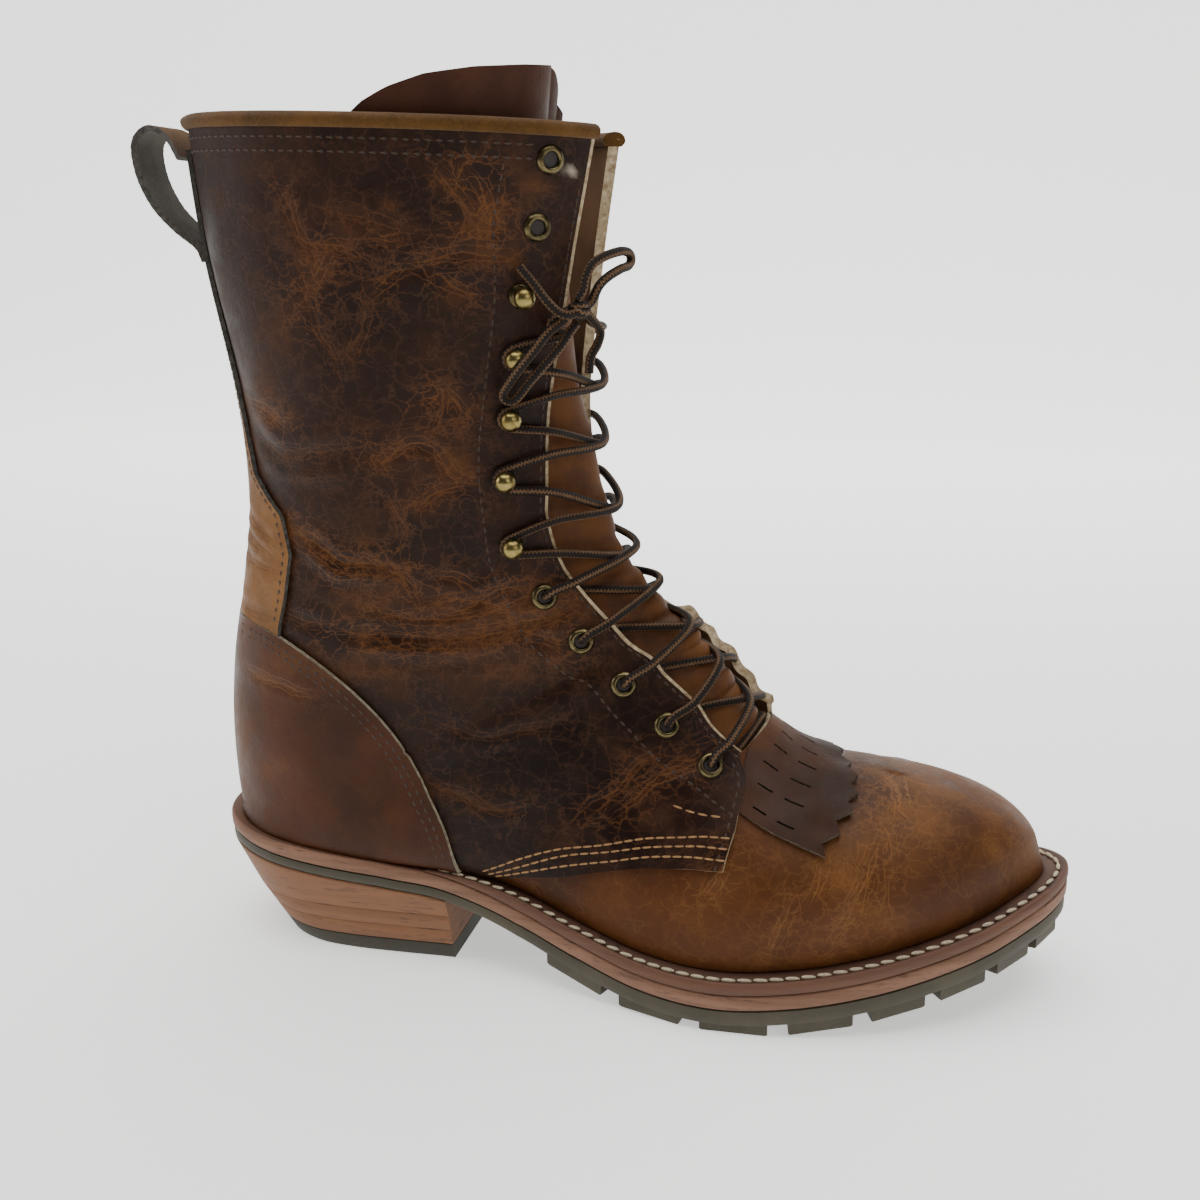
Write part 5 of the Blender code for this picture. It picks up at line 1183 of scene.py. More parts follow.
def set_along(name, lines, part_points, part_faces, finish, pitch=None, nodes=(), slot=None):
    """Piece of many like parts; lines are lists of (point, up), or of (point, up, ahead) with no pitch."""
    along_paths = pitch is not None
    if along_paths not in TREES:
        TREES[along_paths] = set_tree("Parts along paths" if along_paths else "Parts at points", along_paths)
    tree = TREES[along_paths]
    points, edges, ups, aheads = [], [], [], []
    for line in lines:
        base = len(points)
        for item in line:
            points.append(item[0])
            ups.append(item[1])
            aheads.append(item[2] if len(item) > 2 else (1.0, 0.0, 0.0))
        edges += [(k, k + 1) for k in range(base, len(points) - 1)] if along_paths else []
    mesh = bpy.data.meshes.new(name + "_path")
    mesh.from_pydata(((np.asarray(points, float) + SHIFT) * MM).tolist(), edges, [])
    for label, values in (("up", ups), ("ahead", aheads)):
        layer = mesh.attributes.new(label, "FLOAT_VECTOR", "POINT")
        layer.data.foreach_set("vector", np.asarray(values, float).ravel())
    part_mesh = bpy.data.meshes.new(name + "_part")
    part_mesh.from_pydata((np.asarray(part_points, float) * MM).tolist(), [], part_faces)
    part_mesh.shade_smooth()
    part = bpy.data.objects.new(name + "_part", part_mesh)
    made = bpy.data.objects.new(name, mesh)
    for item in (part, made):
        bpy.context.scene.collection.objects.link(item)
    step = made.modifiers.new("Parts", "NODES")
    step.node_group = tree
    values = {"Part": part, "Pitch": (pitch or 1.0) * MM, "Material": finish}
    for item in tree.interface.items_tree:
        if item.in_out == "INPUT" and item.name in values:
            step[item.identifier] = values[item.name]
    bpy.context.view_layer.update()
    done = bpy.data.meshes.new_from_object(made.evaluated_get(bpy.context.evaluated_depsgraph_get()))
    made.modifiers.clear()
    made.data = done
    bpy.data.meshes.remove(mesh)
    bpy.data.objects.remove(part)
    if not done.polygons:
        raise RuntimeError(name + " came out empty")
    done.shade_smooth()
    done.set_sharp_from_angle(angle=math.radians(50.0))
    return ride(made, nodes, slot)


def pill(length, width, height, sides):
    """Stitch: a low rounded bar along x."""
    profile = ((-0.5, 0.0), (-0.42, 0.62), (-0.2, 0.95), (0.2, 0.95), (0.42, 0.62), (0.5, 0.0))
    points, faces, rings = [], [], []
    for along, share in profile:
        count = 1 if share == 0.0 else sides
        rings.append(list(range(len(points), len(points) + count)))
        for k in range(count):
            angle = 2.0 * math.pi * k / sides
            points.append((along * length, share * width / 2 * math.cos(angle),
                           share * height / 2 * math.sin(angle)))
    for low, high in zip(rings, rings[1:]):
        for k in range(sides):
            n = k + 1
            ring = [low[k % len(low)], high[k % len(high)], high[n % len(high)], low[n % len(low)]]
            faces.append(without_repeats(ring))
    return points, faces


def surface_line(places, side, lift, count):
    """Path on the upper through places (s, t), with the way up at each point."""
    places = smooth_route(places, count)
    points = creased(places[:, 0], places[:, 1], side, lift)
    return list(zip(points, normals(places[:, 0], places[:, 1], side)))


def seam_places(points):
    return [place_at(x, z) for x, z in points]


# Upper
SHAFT_COLUMNS, HEEL_COLUMNS, WAIST_COLUMNS, TOE_COLUMNS = 118, 16, 50, 46
WING_ROWS, QUARTER_ROWS, TOP_ROWS = 8, 64, 16
WAIST_S, TOE_S = 9.0, 15.0
STEP_NEAR = 14.6
EDGE_SHARE = 0.007
SHIFT_SPREAD = 3.0
# Flare of the inner throat edge: height, its waves, the share of the wall and the sections it takes in.
EDGE_FLARE, FLARE_WAVE, FLARE_WAVES, FLARE_POWER = 5.0, 0.9, 4.4, 1.5
FLARE_FROM, FLARE_REACH = 0.86, 0.14
FLARE_START, FLARE_START_RUN = 6.2, 1.2
FLARE_END, FLARE_END_RUN = 13.9, 0.8
FRONT = sorted((t, s) for s, t in seam_places(QUARTER_FRONT))
LOWER = sorted(seam_places(QUARTER_LOWER))


def column_places():
    return np.concatenate([np.linspace(0.0, HEEL_ROW, SHAFT_COLUMNS + 1),
                           np.linspace(HEEL_ROW, WAIST_S, HEEL_COLUMNS + 1)[1:],
                           np.linspace(WAIST_S, TOE_S, WAIST_COLUMNS + 1)[1:],
                           np.linspace(TOE_S, TOE_ROW, TOE_COLUMNS + 1)[1:]])


GRID = column_places()
STEP = int(np.argmin(np.abs(GRID - STEP_NEAR)))


def seam_t(s):
    """The t of the lower edge of the quarter."""
    s = np.asarray(s, float)
    return np.where(s <= LOWER[0][0], 0.0, np.interp(s, [p[0] for p in LOWER], [p[1] for p in LOWER]))


def grid_places(side, shares, low_part):
    """Places on the upper's grid, one row for each column; columns near the step follow its seam."""
    base = np.repeat(GRID[:, None], len(shares), axis=1)
    pull = np.clip(1.0 - np.abs(base - GRID[STEP]) / SHIFT_SPREAD, 0.0, 1.0)
    s = base.copy()
    for _ in range(4):
        low, high = seam_t(s), throat_edge(s, side)
        t = low * shares if low_part else low + (high - low) * shares
        move = np.interp(t, [p[0] for p in FRONT], [p[1] for p in FRONT]) - GRID[STEP]
        s = base + move * pull
    return s, t


def creased(s, t, side, lift):
    """Points at a distance from the vamp surface with the creases, which fade towards the sole."""
    flat = lifted(s, t, side, lift)
    fade = np.clip((t - CREASE_FROM) / CREASE_RUN, 0.0, 1.0)
    return lifted(s, t, side, lift + fade * crease_height(flat))


def build_upper():
    """Quarters a step above the vamp and its wings, with cut edges and a leather lining."""
    sheet = Sheet()
    count = len(GRID)
    wing_share = np.linspace(0.0, 1.0, WING_ROWS + 1)
    share = np.append(np.linspace(0.0, 1.0 - EDGE_SHARE, QUARTER_ROWS), 1.0)
    for side in (OUTER, INNER):
        wing_s, wing_t = grid_places(side, wing_share, True)
        above_s, above_t = grid_places(side, share, False)
        order = np.array(list(range(STEP + 1)) + list(range(STEP, count)))
        step = np.where(np.arange(len(order)) <= STEP, QUARTER_STEP, 0.0)[:, None]
        wing_step = np.where(wing_t[order][:, -1:] <= 0.0, step, 0.0)
        s = np.hstack([wing_s[order], above_s[order]])
        t = np.hstack([wing_t[order], above_t[order]])
        lift = np.hstack([np.repeat(wing_step, WING_ROWS + 1, axis=1),
                          np.repeat(step, QUARTER_ROWS + 1, axis=1)])
        flare = 0.0
        if side == INNER:
            free = np.clip((np.hstack([0.0 * wing_share, share]) - FLARE_FROM) / FLARE_REACH, 0.0, 1.0)
            open_part = np.clip((s - FLARE_START) / FLARE_START_RUN, 0.0, 1.0)
            open_part = open_part * np.clip((FLARE_END - s) / FLARE_END_RUN, 0.0, 1.0)
            flare = free ** FLARE_POWER * open_part * (EDGE_FLARE + FLARE_WAVE * np.sin(s * FLARE_WAVES))

        def slot_at(r, c):
            if c > WING_ROWS and (r == STEP or (r < STEP and c == WING_ROWS + QUARTER_ROWS)):
                return 3
            if c == WING_ROWS and wing_t[order[r], -1] > 0.0 and r < STEP:
                return 3
            return 0 if r < STEP and c > WING_ROWS else 1

        sheet.add_grid(creased(s, t, side, lift + flare), lifted(s, t, side, flare - WALL), slot_at)
        edge_s, edge_t = above_s[STEP:, -1], above_t[STEP:, -1]
        ridge_s = grid_places(OUTER, share, False)[0][STEP:, -1]
        f = np.linspace(0.0, 1.0, TOP_ROWS + 1)
        s = edge_s[:, None] + (ridge_s - edge_s)[:, None] * f
        t = edge_t[:, None] + (1.0 - edge_t)[:, None] * f
        sheet.add_grid(creased(s, t, side, 0.0), lifted(s, t, side, -WALL), lambda r, c: 1)
    points, faces, slots = sheet.closed(2, 3)
    make_piece("upper_leather", points, faces, finishes("quarter", "vamp", "lining", "raw"), ("upper",),
               slots, "vamp", fields=wear_and_highlight_fields)


# Overlays, binding and loop
COUNTER_COLUMNS, COUNTER_ROWS = 90, 44
BACKSTAY_COLUMNS, BACKSTAY_ROWS = 110, 20
BINDING_STATIONS, BINDING_POINTS = 160, 20
LOOP_STATIONS = 90


def layer(name, rows_s, rows_t, low, thick, materials, node):
    """Overlay on both sides of the upper from grids of places, closed at its rim."""
    sheet = Sheet()
    for side in (OUTER, INNER):
        front = creased(rows_s, rows_t, side, low + thick)
        sheet.add_grid(front, lifted(rows_s, rows_t, side, low), lambda r, c: 0)
    points, faces, slots = sheet.closed(1, 1)
    make_piece(name, points, faces, materials, (node,), slots, "leather", fields=wear_and_highlight_fields)


def build_counter():
    seam = sorted(seam_places([tuple(p) for p in smooth_route(COUNTER_TOP, 60)]))
    seam_s, top_t = np.array([p[0] for p in seam]), np.array([p[1] for p in seam])
    first, last = seam_s[0], seam_s[-1]
    f = np.linspace(0.0, 1.0, COUNTER_COLUMNS)
    columns = first + (last - first) * f ** 1.5
    columns[-1] = last
    share = np.linspace(0.0, 1.0, COUNTER_ROWS)
    top = np.interp(columns, seam_s, np.maximum(top_t, 0.004))
    rows_s = np.repeat(columns[:, None], len(share), axis=1)
    rows_t = top[:, None] * share
    layer("counter_leather", rows_s, rows_t, QUARTER_STEP + OVERLAY_GAP, COUNTER_THICK,
          finishes("counter", "pale_edge"), "counter")


def build_backstay():
    seam_s, seam_t_values = zip(*seam_places(COUNTER_TOP[:5]))
    share = np.linspace(0.0, 1.0, BACKSTAY_ROWS)
    first, last = BACKSTAY[0][0], BACKSTAY[-1]
    ends = np.interp(last[1] * share, seam_t_values, seam_s) - 0.02
    f = np.linspace(0.0, 1.0, BACKSTAY_COLUMNS)[:, None]
    rows_s = first + (ends - first) * f
    rows_t = table_value(BACKSTAY, rows_s) * share
    layer("backstay_leather", rows_s, rows_t, QUARTER_STEP + OVERLAY_GAP, BACKSTAY_THICK,
          finishes("backstay", "grey_edge"), "backstay")


def build_binding():
    """Rolled suede strip over the collar edge, from one throat edge round the back to the other."""
    out, back = QUARTER_STEP + BINDING_SEAT + BINDING_THICK, -WALL - BINDING_SEAT - BINDING_THICK
    middle, half = (out + back) / 2.0, (out - back) / 2.0
    profile = [(middle + half * math.cos(a), ROLL_MIDDLE + (ROLL_TOP - ROLL_MIDDLE) * math.sin(a))
               for a in np.linspace(-0.25 * math.pi, 1.25 * math.pi, BINDING_POINTS)]
    points = []
    for k in range(BINDING_STATIONS + 1):
        share = abs(2.0 * k / BINDING_STATIONS - 1.0)
        side = OUTER if k < BINDING_STATIONS / 2 else INNER
        t = share * throat_edge(0.0, side)
        base = surface(0.0, t, side)
        normal = normals(0.0, t, side)
        level = np.array([normal[0], normal[1], 0.0]) / np.linalg.norm(normal[:2])
        down = surface(0.3, t, side) - base
        down = down / abs(down[2])
        # The roll is slightly uneven.
        wave = 0.14 * math.sin(k * 0.9) + 0.1 * math.sin(k * 2.3 + 1.0)
        points += [base + (lift + (wave if height > 0.0 else 0.0)) * level - height * down
                   for lift, height in profile]
    faces = ring_faces(BINDING_STATIONS + 1, len(profile))
    make_piece("collar_suede", points, faces, finishes("suede"), ("collar_binding",), slot="suede", sharp=60)


def build_loop():
    """Pull strap bent out from the back of the collar: napped face out, fleshy side in."""
    line = smooth_route(LOOP_ROUTE, LOOP_STATIONS)
    profile = [(-0.5, -0.5), (-0.46, 0.5), (-0.25, 0.55), (0.0, 0.5), (0.25, 0.55), (0.46, 0.5), (0.5, -0.5),
               (0.25, -0.5), (0.0, -0.5), (-0.25, -0.5)]
    points = []
    for i, (x, z) in enumerate(line):
        ahead = line[min(i + 1, len(line) - 1)] - line[max(i - 1, 0)]
        normal = np.array([-ahead[1], ahead[0]]) / np.linalg.norm(ahead)
        fray = 1.0 + 0.012 * math.sin(i * 1.7) + 0.01 * math.sin(i * 3.1)
        for across, lift in profile:
            points.append((x + lift * LOOP_THICK * normal[0], across * LOOP_WIDTH * fray,
                           z + lift * LOOP_THICK * normal[1]))
    # The profile's sides in order: an edge, four of the fleshy side, an edge, four of the napped face.
    slots = [1, 2, 2, 2, 2, 1, 0, 0, 0, 0] * (len(line) - 1) + [1, 1]
    make_piece("pull_strap", points, ring_faces(len(line), len(profile)),
               finishes("suede", "grey_edge", "strap"), ("pull_loop",), slots, "suede")


def tongue_lift(s, t):
    """How far the outer face of the tongue lies inside the vamp surface."""
    upper_part = np.maximum(0.0, 1.0 - np.maximum(s, 0.0) / 2.2)
    middle = np.clip((t - 0.62) / 0.3, 0.0, 1.0)
    return -(WALL + TONGUE_CLEAR + (TONGUE_TUCK + TONGUE_LEAN * middle ** 2) * upper_part)


def build_tongue():
    f = np.linspace(0.0, 1.0, 170)[:, None]
    w = np.linspace(0.0, 1.0, 56)[None, :]
    start = -TONGUE_RISE * np.interp(w, *zip(*TONGUE_CROWN))
    s = start + (TONGUE_END - start) * f ** 1.2
    shaft = np.clip(s / 3.0, 0.0, 1.0)
    out_half = TONGUE_OUT_TOP + (TONGUE_HALF - TONGUE_OUT_TOP) * shaft
    in_half = TONGUE_IN_TOP + (TONGUE_HALF - TONGUE_IN_TOP) * shaft
    reach = -out_half + (out_half + in_half) * w
    side = np.where(reach < 0.0, OUTER, INNER)
    length = np.where(reach < 0.0, section_length(np.maximum(s, 0.0), OUTER),
                      section_length(np.maximum(s, 0.0), INNER))
    t = 1.0 - np.abs(reach) / length
    lift = tongue_lift(s, t)
    # Soft wrinkles where the laces press, deeper low down.
    ripple = np.sin(s * 5.6 + 1.3 * np.sin(reach * 0.09)) * np.clip((s - 2.0) / 2.0, 0.0, 1.0)
    bulge = TONGUE_BULGE * np.abs(np.sin(s * 3.3 + 0.4)) * np.clip((s - 1.5) / 2.0, 0.0, 1.0)
    soft = (TONGUE_RIPPLE * ripple + bulge) * np.exp(-(reach / TONGUE_BULGE_HALF) ** 2)
    sheet = Sheet()
    sheet.add_grid(lifted(s, t, side, lift + soft), lifted(s, t, side, lift - TONGUE_THICK),
                   lambda r, c: 0)
    points, faces, slots = sheet.closed(1, 2)
    make_piece("tongue_leather", points, faces, finishes("tongue", "lining", "suede"), ("tongue",), slots,
               "leather", fields=quiet_fields)


def build_kiltie():
    """Fringed leaf over the vamp: toothed front edge and two rows of cut slits."""
    w = np.linspace(0.0, 1.0, KILTIE_TEETH * TOOTH_COLUMNS + 1)
    f = np.linspace(0.0, 1.0, KILTIE_ROWS + 1)[:, None]
    front = KILTIE_FRONT[0][0] + (KILTIE_FRONT[-1][0] - KILTIE_FRONT[0][0]) * w
    back = KILTIE_BACK[0][0] + (KILTIE_BACK[-1][0] - KILTIE_BACK[0][0]) * w
    across = back + (front - back) * f
    start, end = table_value(KILTIE_BACK, back), table_value(KILTIE_FRONT, front)
    tooth = 1.0 - np.abs(2.0 * ((w * KILTIE_TEETH) % 1.0) - 1.0)
    end = end - KILTIE_TOOTH * tooth
    s = start + (end - start) * f
    side = np.where(across < 0.0, OUTER, INNER)
    t = 1.0 - np.abs(across) / np.where(across < 0.0, section_length(s, OUTER), section_length(s, INNER))
    curl = 0.35 * np.sin(across * 0.35) * f ** 3 + 0.8 * f ** 8 * np.exp(-((across + 40.0) / 10.0) ** 2)

    def hole_at(r, c):
        return c % TOOTH_COLUMNS == SLIT_COLUMN and any(first <= r < last for first, last in SLIT_ROWS)

    sheet = Sheet()
    low = KILTIE_SEAT + OVERLAY_GAP * f
    thick = KILTIE_EDGE_THICK + (KILTIE_THICK - KILTIE_EDGE_THICK) * np.clip(4.0 * f, 0.0, 1.0)
    sheet.add_grid(lifted(s, t, side, low + thick + curl), lifted(s, t, side, low + curl * 0.9),
                   lambda r, c: 0, hole_at)
    points, faces, slots = sheet.closed(1, 2)
    make_piece("kiltie_leaf", points, faces, finishes("kiltie", "lining", "kiltie_edge"), ("kiltie",), slots,
               "leather", fields=quiet_fields)


# Sole
def welt_thick(x):
    return np.interp(x, (WELT_START_X, WELT_FULL_X), (WELT_END_THICK, WELT_THICK))


def midsole_top(x):
    return seat(x) - GAP - (welt_thick(x) + GAP) * np.clip((x - WELT_STEP_X) / WELT_STEP_RUN, 0.0, 1.0)


def rubber_top(x):
    return midsole_top(x) - MIDSOLE_THICK - GAP


def rubber_bottom(x):
    return rubber_top(x) - np.interp(x, (HEEL_BREAST_X, RUBBER_FORE_X), (RUBBER_HEEL, RUBBER_FORE))


def feather(s, side):
    row = section_row(s)
    half = max(row[column("foot_out" if side == OUTER else "foot_in")], 0.0)
    return np.array([row[column("back_x")], row[column("centre_y")] + side * half])


def outline(s, side, ledge):
    """Plan point of the sole edge: the bottom edge of the upper moved out by the ledge."""
    ds = 0.04
    if s - ds < HEEL_ROW:
        along = feather(s + ds, side) - feather(2 * HEEL_ROW - s + ds, -side)
    elif s + ds > TOE_ROW:
        along = feather(2 * TOE_ROW - s - ds, -side) - feather(s - ds, side)
    else:
        along = feather(s + ds, side) - feather(s - ds, side)
    normal = np.array([along[1], -along[0]]) / np.linalg.norm(along) * -side
    return feather(s, side) + ledge * normal


def ledge_at(s):
    return float(table_value(LEDGE, s))


def sole_ring():
    """Stations round the sole: from the heel along the outer side to the toe and back inside."""
    there = np.linspace(HEEL_ROW, TOE_ROW, SOLE_STATIONS)
    return [(s, OUTER) for s in there] + [(s, INNER) for s in there[-2:0:-1]]


def slab(top, bottom, edge, levels, slot_at):
    """Layer of the sole between two height functions, with the given (level, draw in) edge."""
    ring = sole_ring()
    points, faces, slots = [], [], []
    size = len(levels)
    for s, side in ring:
        for level, draw in levels:
            x, y = outline(s, side, edge(s) - draw)
            points.append((x, y, float(top(x) + (bottom(x) - top(x)) * level)))
    count = len(ring)
    for k in range(count):
        n = (k + 1) % count
        for j in range(size - 1):
            faces.append([k * size + j, n * size + j, n * size + j + 1, k * size + j + 1])
            slots.append(slot_at(j))
    half = count // 2
    for level in (0, size - 1):
        for k in range(half):
            a, b = k, k + 1
            c, d = (count - b) % count, (count - a) % count
            face = without_repeats([v * size + level for v in (a, b, c, d)])
            if len(set(face)) >= 3:
                faces.append(face)
                slots.append(slot_at(0 if level == 0 else size - 2))
    return points, faces, slots


def build_midsole():
    levels = ((0.0, 3.0), (0.0, 0.7), (0.12, 0.1), (0.5, 0.0), (0.88, 0.12), (1.0, 0.6))
    points, faces, slots = slab(midsole_top, lambda x: midsole_top(x) - MIDSOLE_THICK,
                                lambda s: ledge_at(s) - MIDSOLE_INSET, levels,
                                lambda j: 1 if j == 0 else 0)
    make_piece("midsole_leather", points, faces, finishes("midsole", "welt_edge"), ("midsole",), slots,
               "sole_leather", sharp=50)


def block(points, faces, corners, top, bottom):
    """Tapered tread block with a small worn edge."""
    base = len(points)
    middle = np.mean(np.array(corners), axis=0)
    for inset, height in ((0.0, top), (0.0, lambda x: bottom(x) + LUG_WORN), (LUG_WORN_INSET, bottom)):
        for corner in corners:
            x, y = np.array(corner) + (middle - np.array(corner)) * inset
            points.append((x, y, float(height(x))))
    faces.append([base + 3, base + 2, base + 1, base])
    faces.append([base + 8, base + 9, base + 10, base + 11])
    for level in (0, 4):
        for k in range(4):
            n = (k + 1) % 4
            faces.append([base + level + k, base + level + n, base + level + 4 + n, base + level + 4 + k])


def build_outsole():
    levels = ((0.0, 1.2), (0.1, 0.3), (0.5, 0.0), (0.85, 0.1), (1.0, 0.6))
    points, faces, _ = slab(rubber_top, rubber_bottom, lambda s: ledge_at(s) - RUBBER_INSET, levels,
                            lambda j: 0)

    def lug_top(x):
        return rubber_bottom(x) + LUG_ROOT

    def lug_bottom(x):
        return max(float(rubber_bottom(x)) - LUG_DEPTH, 0.0)

    step = (TOE_ROW - LUG_END_GAP - LUG_START) / LUG_COUNT
    for side in (OUTER, INNER):
        for k in range(LUG_COUNT):
            a = LUG_START + k * step
            b = a + step * LUG_FILL
            edge = [outline(s, side, ledge_at(s) - RUBBER_INSET - LUG_EDGE) for s in (a, b)]
            back = [outline(s, side, ledge_at(s) - RUBBER_INSET - LUG_EDGE - LUG_WIDTH) for s in (a, b)]
            block(points, faces, [edge[0], edge[1], back[1], back[0]], lug_top, lug_bottom)
    for k in range(CENTRE_LUG_COUNT):
        s = LUG_START + CENTRE_LUG_FIRST + k * CENTRE_LUG_STEP
        ends = []
        for place in (s, s + CENTRE_LUG_LENGTH):
            out, inside = feather(place, OUTER), feather(place, INNER)
            middle = 0.5 * (out + inside)
            ends.append([middle + (edge - middle) * CENTRE_LUG_REACH for edge in (out, inside)])
        (a_out, a_in), (b_out, b_in) = ends
        block(points, faces, [a_out, b_out, b_in, a_in], lug_top, lug_bottom)
    make_piece("outsole_rubber", points, faces, finishes("rubber"), ("outsole",), slot="rubber", sharp=50)


def welt_stations(count):
    first = float(np.interp(WELT_START_X, SEAT_X, FOOT_S))
    there = np.linspace(first, TOE_ROW, count)
    return [(s, OUTER) for s in there] + [(s, INNER) for s in there[-2::-1]]


def welt_top(x):
    return seat(x) - WELT_SEAT


def build_welt():
    """Strip under the edge of the upper with a stitch groove and a rounded outer edge."""
    points = []
    stations = welt_stations(SOLE_STATIONS)
    for s, side in stations:
        ledge = ledge_at(s)
        ring = ((-WELT_TUCK, 1.0, 0.0), (0.3, 1.0, 0.0), (0.40 * ledge, 1.0, -0.1), (0.5 * ledge, 1.0, -0.75),
                (0.66 * ledge, 1.0, -0.75), (0.74 * ledge, 1.0, -0.05), (ledge - 0.9, 1.0, 0.0),
                (ledge - 0.25, 0.88, 0.0), (ledge, 0.6, 0.0), (ledge, 0.3, 0.0), (ledge - 0.5, 0.0, 0.0),
                (-WELT_TUCK, 0.0, 0.0))
        for out, level, drop in ring:
            x, y = outline(s, side, out)
            bottom = float(midsole_top(x)) + GAP
            height = float(welt_top(x)) - bottom
            points.append((x, y, bottom + height * level + drop * min(1.0, height / WELT_THICK)))
    # The ring's sides in order: six of the top, four of the outer edge, two underneath.
    slots = [0, 0, 0, 0, 0, 0, 1, 1, 1, 1, 0, 0] * (len(stations) - 1) + [0, 0]
    make_piece("welt_strip", points, ring_faces(len(stations), len(ring)), finishes("welt", "welt_edge"),
               ("welt",), slots, "sole_leather", sharp=50)


def heel_ring(z, top_z, inset):
    """Plan of the heel block at a height: the sole's outline drawn in towards the floor."""
    last = float(np.interp(HEEL_BREAST_X, SEAT_X, FOOT_S))
    down = 1.0 - z / top_z
    inward = np.linspace(last, HEEL_ROW, HEEL_POINTS)
    ring = []
    for side, places in ((OUTER, inward), (INNER, inward[-2::-1])):
        for s in places:
            x, y = outline(s, side, ledge_at(s) - inset)
            x = HEEL_BREAST_X - (HEEL_BREAST_X - min(x, HEEL_BREAST_X)) * (1.0 - HEEL_SLANT * down)
            ring.append((x, y * (1.0 - HEEL_TAPER * down)))
    return ring


def heel_block(name, heights, top_z, finish, node, slot):
    """Layer of the heel from (height, inset) rows, top first; a height may be a function of x."""
    points = []
    for height, inset in heights:
        ring = heel_ring(top_z if callable(height) else height, top_z, inset)
        points += [(x, y, float(height(x)) if callable(height) else height) for x, y in ring]
    faces = ring_faces(len(heights), len(points) // len(heights))
    faces[-1].reverse()
    make_piece(name, points, faces, finishes(finish), (node,), slot=slot, sharp=40)


def build_heel():
    top_z = float(rubber_bottom(HEEL_MIDDLE_X))
    floor_of_stack = HEEL_CAP_THICK + GAP
    heights = [(lambda x: rubber_bottom(x) - GAP, HEEL_CORNER),
               (lambda x: rubber_bottom(x) - GAP - 0.6, HEEL_INSET)]
    lift = (float(rubber_bottom(HEEL_BREAST_X)) - 1.5 - floor_of_stack) / HEEL_LIFTS
    for k in range(HEEL_LIFTS - 1, 0, -1):
        level = floor_of_stack + lift * k
        heights += [(level + HEEL_GROOVE_HALF, HEEL_INSET), (level, HEEL_GROOVE),
                    (level - HEEL_GROOVE_HALF, HEEL_INSET)]
    heights += [(floor_of_stack + 0.5, HEEL_INSET), (floor_of_stack, HEEL_CORNER)]
    heel_block("heel_leather", heights, top_z, "heel", "heel_stack", "sole_leather")
    heights = [(HEEL_CAP_THICK, HEEL_CORNER), (HEEL_CAP_THICK - 0.5, HEEL_INSET), (0.8, HEEL_INSET),
               (0.0, 1.7)]
    heel_block("heel_rubber", heights, top_z, "heel_cap", "heel_cap", "rubber")
    insole = frame["nodes"]["insole"]
    insole.data.materials.clear()
    insole.data.materials.append(finish_named("insole"))


# Stitches
# Size of a stitch: share of its pitch, width and height.
SEAM_STITCH, TAB_STITCH, WELT_STITCH = (0.66, 0.5, 0.45), (0.93, 0.75, 0.8), (0.93, 1.5, 1.4)
# Seams: distances from an edge, and the section places or t where they run.
COLLAR_SEAMS, COLLAR_SEAM_PLACES = (0.125, 0.225), (0.095, 0.4, 0.6, 0.79)
EDGE_SEAM, TAB_SEAM, COUNTER_SEAMS = 2.6, 2.4, (3.0, 5.8)
THROAT_SEAM_ENDS, BACKSTAY_SEAM_ENDS = (0.45, 13.3), (0.5, 4.45)
TAB_SEAM_TOP, COUNTER_SEAM_BACK, COUNTER_SEAM_LOW = 82.0, 9.0, 44.0
WELT_SEAM_SHARE, WELT_SEAM_START, WELT_SEAM_SINK = 0.58, 6.0, 0.15


def both_sides(points, lift, count):
    """Lines through side view points on the outer side, and as far from the throat on the inner side."""
    outer = seam_places(points)
    inner = [(s, float(np.clip(throat_edge(s, INNER) - (throat_edge(s, OUTER) - t), 0.0, 0.99)))
             for s, t in outer]
    return [surface_line(outer, OUTER, lift, count), surface_line(inner, INNER, lift, count)]


def near_edge(distance, lift, first, last):
    """Lines beside the two throat edges, a distance in from each."""
    lines = []
    for side in (OUTER, INNER):
        places = []
        for s in np.linspace(first, last, 60):
            places.append((s, float(throat_edge(s, side)) - distance / float(section_length(s, side))))
        lines.append(surface_line(places, side, lift, 240))
    return lines


def offset_seam(seam, distance):
    """The seam (x, z) moved to its lower or back side by a distance."""
    line = smooth_route(seam, 40)
    ahead = np.gradient(line, axis=0)
    across = np.stack([-ahead[:, 1], ahead[:, 0]], axis=1)
    across /= np.linalg.norm(across, axis=1, keepdims=True)
    return [tuple(p) for p in line - distance * across]


